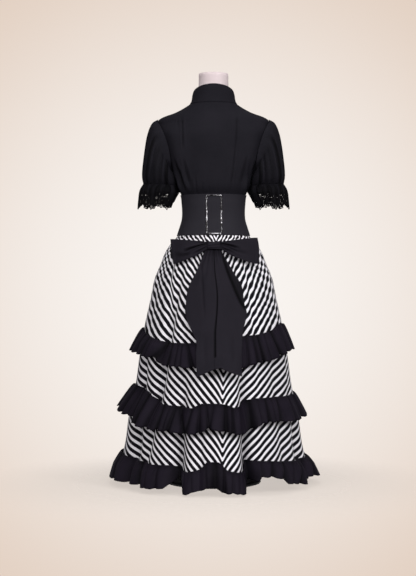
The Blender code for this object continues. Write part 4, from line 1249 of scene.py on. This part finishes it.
def seam_puckers(angle, part, draw):
    """Small puckers of the gathering thread, fading below the seam."""
    turn = np.radians(angle)
    drift = sum(draw.uniform(0.5, 1.4) * np.sin(k * turn + draw.uniform(0, 6)) for k in (5, 9, 14))
    return np.exp(-(part / 0.34) ** 2) * np.sin(96 * turn + 1.6 * drift)


# Each tier: name, outline, troughs, lift off the skirt, flare and wave at the lower edge, how much
# further it stands off at its left and right tips, and the strip's flat size
RUFFLES = [
    ("ruffle_upper", RUFFLE_UPPER, UPPER_TROUGHS, 0.0027, 0.015, 0.016, (0.007, -0.004), (2.05, 0.087)),
    ("ruffle_middle", RUFFLE_MIDDLE, MIDDLE_TROUGHS, 0.0031, 0.019, 0.017, (0.011, -0.006), (2.35, 0.091)),
    ("ruffle_hem", RUFFLE_HEM, HEM_TROUGHS, 0.0031, 0.018, 0.018, (0.000, 0.008), (2.52, 0.088)),
]
SEAM_WAVE = 0.0030
PUCKER = 0.0011
# The painted shade of a ruffle's troughs is wider than the troughs
SHADE_WIDENED = 1.9
RUFFLE_POINTS = 900


def make_ruffle(tier, name, outline, troughs, lift, flare, wave, tips, flat):
    """A gathered strip sewn on at its top and standing off the skirt at its lower edge."""
    draw = np.random.default_rng(40 + tier)
    angles = (np.arange(RUFFLE_POINTS) * 360 / RUFFLE_POINTS - 180)[None, :]
    part = np.linspace(1, 0, 15)[:, None]
    grid_angle, grid_part = np.broadcast_arrays(angles, part)
    seam, edge = outline.read("seam", grid_angle), outline.read("edge", grid_angle)
    troughs = tier_troughs(troughs, tier + 5)
    waves = gather_waves(grid_angle, grid_part, troughs)
    height = seam + (edge - seam) * grid_part
    height = height + 0.005 * grid_part ** 2 * (0.8 - waves)
    swing = SEAM_WAVE + (wave - SEAM_WAVE) * grid_part ** 0.8
    side = np.sin(np.radians(grid_angle))
    tip = np.where(side < 0, tips[0], tips[1]) * side ** 2
    out = lift + RUFFLE_WALL + PUCKER + (flare + tip) * grid_part ** 0.75 + swing * waves
    out = out + PUCKER * seam_puckers(grid_angle, grid_part, draw)
    net = skirt(grid_angle, height, out)
    net[..., 2] = height
    # Painted shade in the troughs and along the seam
    wide_waves = gather_waves(grid_angle, grid_part, troughs, SHADE_WIDENED)
    deep = (1 - wide_waves) * (0.75 + 0.25 * grid_part) + 0.30 * np.exp(-(grid_part / 0.16) ** 2)
    made = cloth_net(name + "_cloth", net, RUFFLE_WALL, RUFFLE_CLOTH, closed=True,
                     extra={"deep": np.clip(deep, 0, 1)})
    finish_cloth(made, [name])


# Bow

def make_loop(side, hand):
    alongs = np.linspace(0.010, 0.142, 60)
    bend = np.linspace(-np.pi / 2, np.pi / 2, 13)[1:-1]
    end = LOOP.keys()[-1]
    outer_end, inner_end = LOOP.read("outer_y", end), LOOP.read("inner_y", end)
    path = [(along, float(LOOP.read("outer_y", along)), 1.0) for along in alongs]
    for turn in bend:
        middle = (outer_end + inner_end) / 2
        path.append((end + LOOP_FOLD_REACH * math.cos(turn),
                     middle + (inner_end - outer_end) / 2 * math.sin(turn), 1.0 - (turn + np.pi / 2) / np.pi))
    path += [(along, float(LOOP.read("inner_y", along)), 0.0) for along in alongs[::-1]]
    path = np.array(path)
    part = np.linspace(0, 1, 44)[:, None]
    reach = path[None, :, 0] + 0 * part
    inside = np.minimum(reach, end)
    far = blend_step(inside, 0.03, end)
    bottom, top = LOOP.read("bottom", inside), LOOP.read("top", inside) + LOOP_RAISE[hand] * far
    front = path[None, :, 2] + 0 * part
    depth = path[None, :, 1] + 0 * part
    # Painted shade in the bottom of the loop's folds, stored as "deep"
    dark = 0 * depth
    for near, near_part, out, out_part, deep, width in LOOP_FOLDS[hand]:
        along = np.clip((inside - near) / (out - near), 0, 1)
        line = near_part + (out_part - near_part) * along
        shown = blend_step(inside, near - 0.012, near + 0.006)
        shown = shown * (1 - blend_step(inside, out - 0.035, out + 0.010))
        away = (part - line) / (width * (0.8 + 0.6 * along))
        ridges = np.exp(-((np.abs(away) - 1.9) / 0.9) ** 2)
        depth = depth + front * shown * deep * (np.exp(-away ** 2) - 0.55 * ridges)
        dark = np.maximum(dark, front * shown * deep / 0.0052 * np.exp(-away ** 2))
    height = bottom + (top - bottom) * part
    sag = np.sin(np.pi * np.clip((inside - 0.03) / 0.115, 0, 1))
    height = height - 0.0022 * sag * (1 - part)
    shift = LOOP_BULGE[hand] * np.sin(np.pi * part) - LOOP_SLANT[hand] * (1 - part)
    reach = reach + shift * blend_step(reach, 0.08, end + LOOP_FOLD_REACH)
    net = np.stack([side * reach + KNOT_CENTRE[0], depth, height], -1)
    if side < 0:
        net, dark = net[:, ::-1], dark[:, ::-1]
    made = cloth_net("bow_loop_cloth_" + hand, net, BOW_WALL, BOW_CLOTH, extra={"deep": dark})
    finish_cloth(made, ["bow_loop_" + hand])


def make_knot():
    """A flat band across the middle, pleated along the pull of the loops."""
    turn = turns(128)
    rows = []
    for along in np.linspace(-1, 1, 29):
        swell = 0.94 + 0.12 * along ** 2 + 0.04 * np.sin(3 * turn + 2 * along)
        pleats = 1 + 0.085 * np.cos(9 * turn + 1.4 * along) + 0.05 * np.cos(14 * turn - 0.8 * along)
        squared = 1 / np.maximum(np.abs(np.cos(turn)) ** 3 + np.abs(np.sin(turn)) ** 3, 1e-9) ** (1 / 3)
        rows.append(np.stack([
            KNOT_CENTRE[0] + along * KNOT_HALF_LENGTH + 0 * turn,
            KNOT_CENTRE[1] + KNOT_HALF_DEPTH * np.cos(turn) * swell * pleats * squared,
            KNOT_CENTRE[2] + KNOT_HALF_HEIGHT * np.sin(turn) * swell * (0.5 + 0.5 * pleats) * squared], -1))
    net = np.array(rows)
    made = cloth_net("bow_knot_cloth", net, TAIL_CLOTH, BOW_CLOTH, closed=True)
    finish_cloth(made, ["bow_knot"])


# Troughs down the tails: distance from the centre back, top, bottom, depth, width and slope
TAIL_TROUGHS = [(-0.037, 0.79, 0.60, 0.0036, 0.0040, 0.055), (-0.034, 0.55, 0.43, 0.0030, 0.009, 0.02),
                (0.060, 0.56, 0.42, 0.0026, 0.011, 0.02), (0.030, 0.74, 0.60, 0.0014, 0.006, 0.02)]


def tail_relief(distance, level, side):
    """How far the tails' outer face stands off their base: soft crests, folds and a dark slit."""
    below_knot = blend_step(TAIL_START - level, 0.0, 0.09)
    out = TAIL_RISE * below_knot * (0.5 + 0.5 * np.cos(np.clip(distance / 0.10, -1, 1) * np.pi / 2))
    # Pleats that fan out from under the knot
    spread = np.maximum(TAILS.read("right_edge", level) - TAILS.read("left_edge", level), 0.02)
    fan = distance / spread
    near = 1 - blend_step(TAIL_START - level, 0.03, 0.20)
    out = out + 0.0012 * near * np.sin(38 * fan + 0.6)
    # A soft trough down the left tail, and a softer one low on both
    for where, high, low, deep, width, slope in TAIL_TROUGHS:
        shown = blend_step(level, low - 0.02, low + 0.05) * (1 - blend_step(level, high - 0.05, high + 0.02))
        lean = where + slope * (level - 0.68) * -1
        out = out - deep * shown * np.exp(-((distance - lean) / width) ** 2)
    if side > 0:
        fold = TAILS.read("fold", level)
        past = blend_step(distance, fold - 0.0035, fold + 0.0005)
        deep = np.minimum(0.0085, TAILS.read("lift", level) + TAIL_RISE - 0.0008)
        shown = 1 - blend_step(-level, -0.645, -0.600)
        groove = np.exp(-((distance - fold - 0.0028) / 0.0032) ** 2)
        strip = blend_step(distance, fold + 0.004, fold + 0.012)
        out = out - shown * below_knot * deep * (np.maximum(past * (1 - 0.45 * strip), groove))
        out = out + 0.0022 * shown * below_knot * np.exp(-((distance - fold + 0.009) / 0.006) ** 2)
    return out


def make_tail(side, hand):
    top = TAILS.keys()[-1]
    rows, columns = 150, 64
    share, across = np.broadcast_arrays(np.linspace(0, 1, rows)[:, None], np.linspace(0, 1, columns)[None, :])
    level = TAIL_LOW + (top - TAIL_LOW) * share
    opened = blend_step(level, SLIT_END - 0.006, SLIT_END + 0.008)
    gap = TAILS.read("gap", level) * opened
    slit = TAILS.read("slit", level)
    edge = TAILS.read("left_edge" if side < 0 else "right_edge", level)
    # The first columns roll in towards the skirt along the slit; the left tail runs on under the right one
    roll = 0.14
    rolled = np.clip(across / roll, 0, 1)
    under = 0.5 * gap + 0.004 if side < 0 else 0.0
    start = slit - side * under
    lip = slit + side * gap / 2
    distance = np.where(across < roll, start + (lip - start) * rolled ** 1.5,
                        lip + (edge - lip) * (across - roll) / (1 - roll))
    hem = np.interp(distance, *np.array(TAIL_HEM).T)
    height = level + (hem - TAIL_LOW) * (1 - blend_step(level, TAIL_LOW, 0.50))
    base = TAILS.read("lift", level)
    deep = np.minimum(0.013, base + TAIL_RISE * 0.8)
    sunk = deep * (1 - rolled ** 0.6) * blend_step(level, SLIT_END - 0.004, SLIT_END + 0.006)
    closed = 1 - opened
    sunk = sunk + (0.0018 * closed * (1 - rolled) if side < 0 else -0.0002 * closed)
    relief = tail_relief(distance, level, side)
    out = SKIRT_WALL * 1.5 + BOW_WALL + base + relief - sunk
    out = np.maximum(out, SKIRT_WALL + TAIL_CLOTH + 0.0008)
    if side > 0:
        out = out + 0.0013 * (1 - rolled)
    half_width = SKIRT.read("half_width", height) + out
    angle = np.degrees(np.arcsin(np.clip(distance / half_width, -1, 1)))
    net = skirt(angle, height, out)
    if side < 0:
        net = net[:, ::-1]
    # Painted shade in the tails' troughs and folds, in the slit and beside the fold over the right tail
    deep = np.clip((TAIL_RISE - relief) / 0.007 - 0.35, 0, 1)
    slit_shade = (1 - blend_step(rolled, 0.70, 1.0)) * blend_step(level, SLIT_END - 0.004, SLIT_END + 0.004)
    fold_shade = 0 * level
    if side > 0:
        fold_shade = np.exp(-((distance - TAILS.read("fold", level) - 0.0040) / 0.0062) ** 4)
        fold_shade = fold_shade * (1 - blend_step(-level, -0.640, -0.600)) * blend_step(-level, -0.836, -0.800)
    deep = np.maximum(deep, np.maximum(slit_shade, fold_shade))
    if side < 0:
        deep = deep[:, ::-1]
    made = cloth_net("bow_tail_cloth_" + hand, net, TAIL_CLOTH, BOW_CLOTH, extra={"deep": deep})
    finish_cloth(made, ["bow_tail_" + hand])


# Stage, light and camera

AMBIENT = 0.22
FLOOR_COLOUR = (0.86, 0.79, 0.73, 1)
WALL_EDGE = (0.768, 0.638, 0.546, 1)
WALL_MIDDLE = (0.950, 0.912, 0.880, 1)
# Angle from the camera's axis at which the wall has its edge colour
WALL_SPREAD = 14.5


def make_floor():
    """A pale floor, seen only near the dress's foot."""
    made, nodes, links = new_material("pale_floor")
    shader = nodes["Principled BSDF"]
    shader.inputs["Base Color"].default_value = FLOOR_COLOUR
    shader.inputs["Roughness"].default_value = 0.9
    place = nodes.new("ShaderNodeTexCoord")
    length = add_node(nodes, "ShaderNodeVectorMath", operation="LENGTH")
    links.new(place.outputs["Object"], length.inputs[0])
    fade = add_node(nodes, "ShaderNodeMapRange", {"From Min": 0.35, "From Max": 0.95, "To Min": 0.34,
                                                  "To Max": 0.0}, interpolation_type="SMOOTHSTEP")
    links.new(length.outputs["Value"], fade.inputs["Value"])
    links.new(fade.outputs["Result"], shader.inputs["Alpha"])
    net = np.array([[(x, y, 0.0) for x in (-2, 2)] for y in (-2, 2)], dtype=float)
    piece_from("floor", net.reshape(-1, 3), [(0, 1, 3, 2)], made)


def make_world():
    """A wall glowing round the camera's axis, and even light for everything but the camera."""
    world = bpy.data.worlds.new("studio")
    bpy.context.scene.world = world
    world.use_nodes = True
    nodes, links = world.node_tree.nodes, world.node_tree.links
    place = nodes.new("ShaderNodeTexCoord")
    aim = add_node(nodes, "ShaderNodeVectorMath", {1: (0, 1, 0)}, operation="DOT_PRODUCT")
    links.new(place.outputs["Generated"], aim.inputs[0])
    ramp = add_node(nodes, "ShaderNodeMapRange", {"From Min": math.cos(math.radians(WALL_SPREAD)),
                                                  "From Max": 1.0})
    links.new(aim.outputs["Value"], ramp.inputs["Value"])
    mix = add_node(nodes, "ShaderNodeMix", {"A": WALL_EDGE, "B": WALL_MIDDLE}, data_type="RGBA")
    links.new(math_node(nodes, links, "POWER", ramp.outputs["Result"], 1.3), mix.inputs["Factor"])
    seen = nodes["Background"]
    links.new(mix.outputs["Result"], seen.inputs["Color"])
    even = add_node(nodes, "ShaderNodeBackground", {"Color": (1.0, 0.98, 0.97, 1), "Strength": AMBIENT})
    path = nodes.new("ShaderNodeLightPath")
    choose = nodes.new("ShaderNodeMixShader")
    links.new(path.outputs["Is Camera Ray"], choose.inputs["Fac"])
    links.new(even.outputs["Background"], choose.inputs[1])
    links.new(seen.outputs["Background"], choose.inputs[2])
    links.new(choose.outputs["Shader"], nodes["World Output"].inputs["Surface"])


def area_light(name, where, aim, size, power):
    light = bpy.data.lights.new(name, "AREA")
    light.shape = "RECTANGLE"
    light.size, light.size_y = size
    light.energy = power
    made = bpy.data.objects.new(name, light)
    bpy.context.scene.collection.objects.link(made)
    made.location = where
    made.rotation_euler = (Vector(aim) - Vector(where)).to_track_quat("-Z", "Y").to_euler()


PIXEL = 0.0036
PHOTO_WIDTH, PHOTO_HEIGHT = 416, 576
AXIS_PIXEL = 213.5
CAMERA_HEIGHT = 0.700
CAMERA_DISTANCE = 5.0
SENSOR = 36.0


def make_camera():
    camera = bpy.data.cameras.new("camera")
    camera.sensor_width = SENSOR
    camera.lens = SENSOR * CAMERA_DISTANCE / (PHOTO_HEIGHT * PIXEL)
    made = bpy.data.objects.new("camera", camera)
    bpy.context.scene.collection.objects.link(made)
    aside = -(AXIS_PIXEL - PHOTO_WIDTH / 2) * PIXEL
    made.location = (aside, -CAMERA_DISTANCE, CAMERA_HEIGHT)
    made.rotation_euler = (math.radians(90), 0, 0)
    bpy.context.scene.camera = made


make_camera()
make_form()
make_stand()
make_bodice()
make_collar()
make_placket()
for side, hand in ((-1, "left"), (1, "right")):
    make_sleeve(side, hand)
    make_lace(side, hand)
    make_loop(side, hand)
    make_tail(side, hand)
make_corset()
make_frame()
make_skirt()
for tier, ruffle in enumerate(RUFFLES):
    make_ruffle(tier, *ruffle)
make_knot()
make_floor()
make_world()
area_light("front", (0.3, -4.2, 2.4), (0, 0, 0.75), (2.8, 1.0), 72)
area_light("key", (2.6, -2.9, 2.0), (0, 0, 0.70), (0.9, 1.2), 62)
area_light("fill", (-2.4, -3.2, 1.2), (0, 0, 0.75), (1.2, 1.2), 34)
area_light("top", (0.0, -0.6, 3.2), (0, 0, 0.9), (1.2, 1.2), 16)
bpy.context.scene.view_settings.view_transform = "Standard"
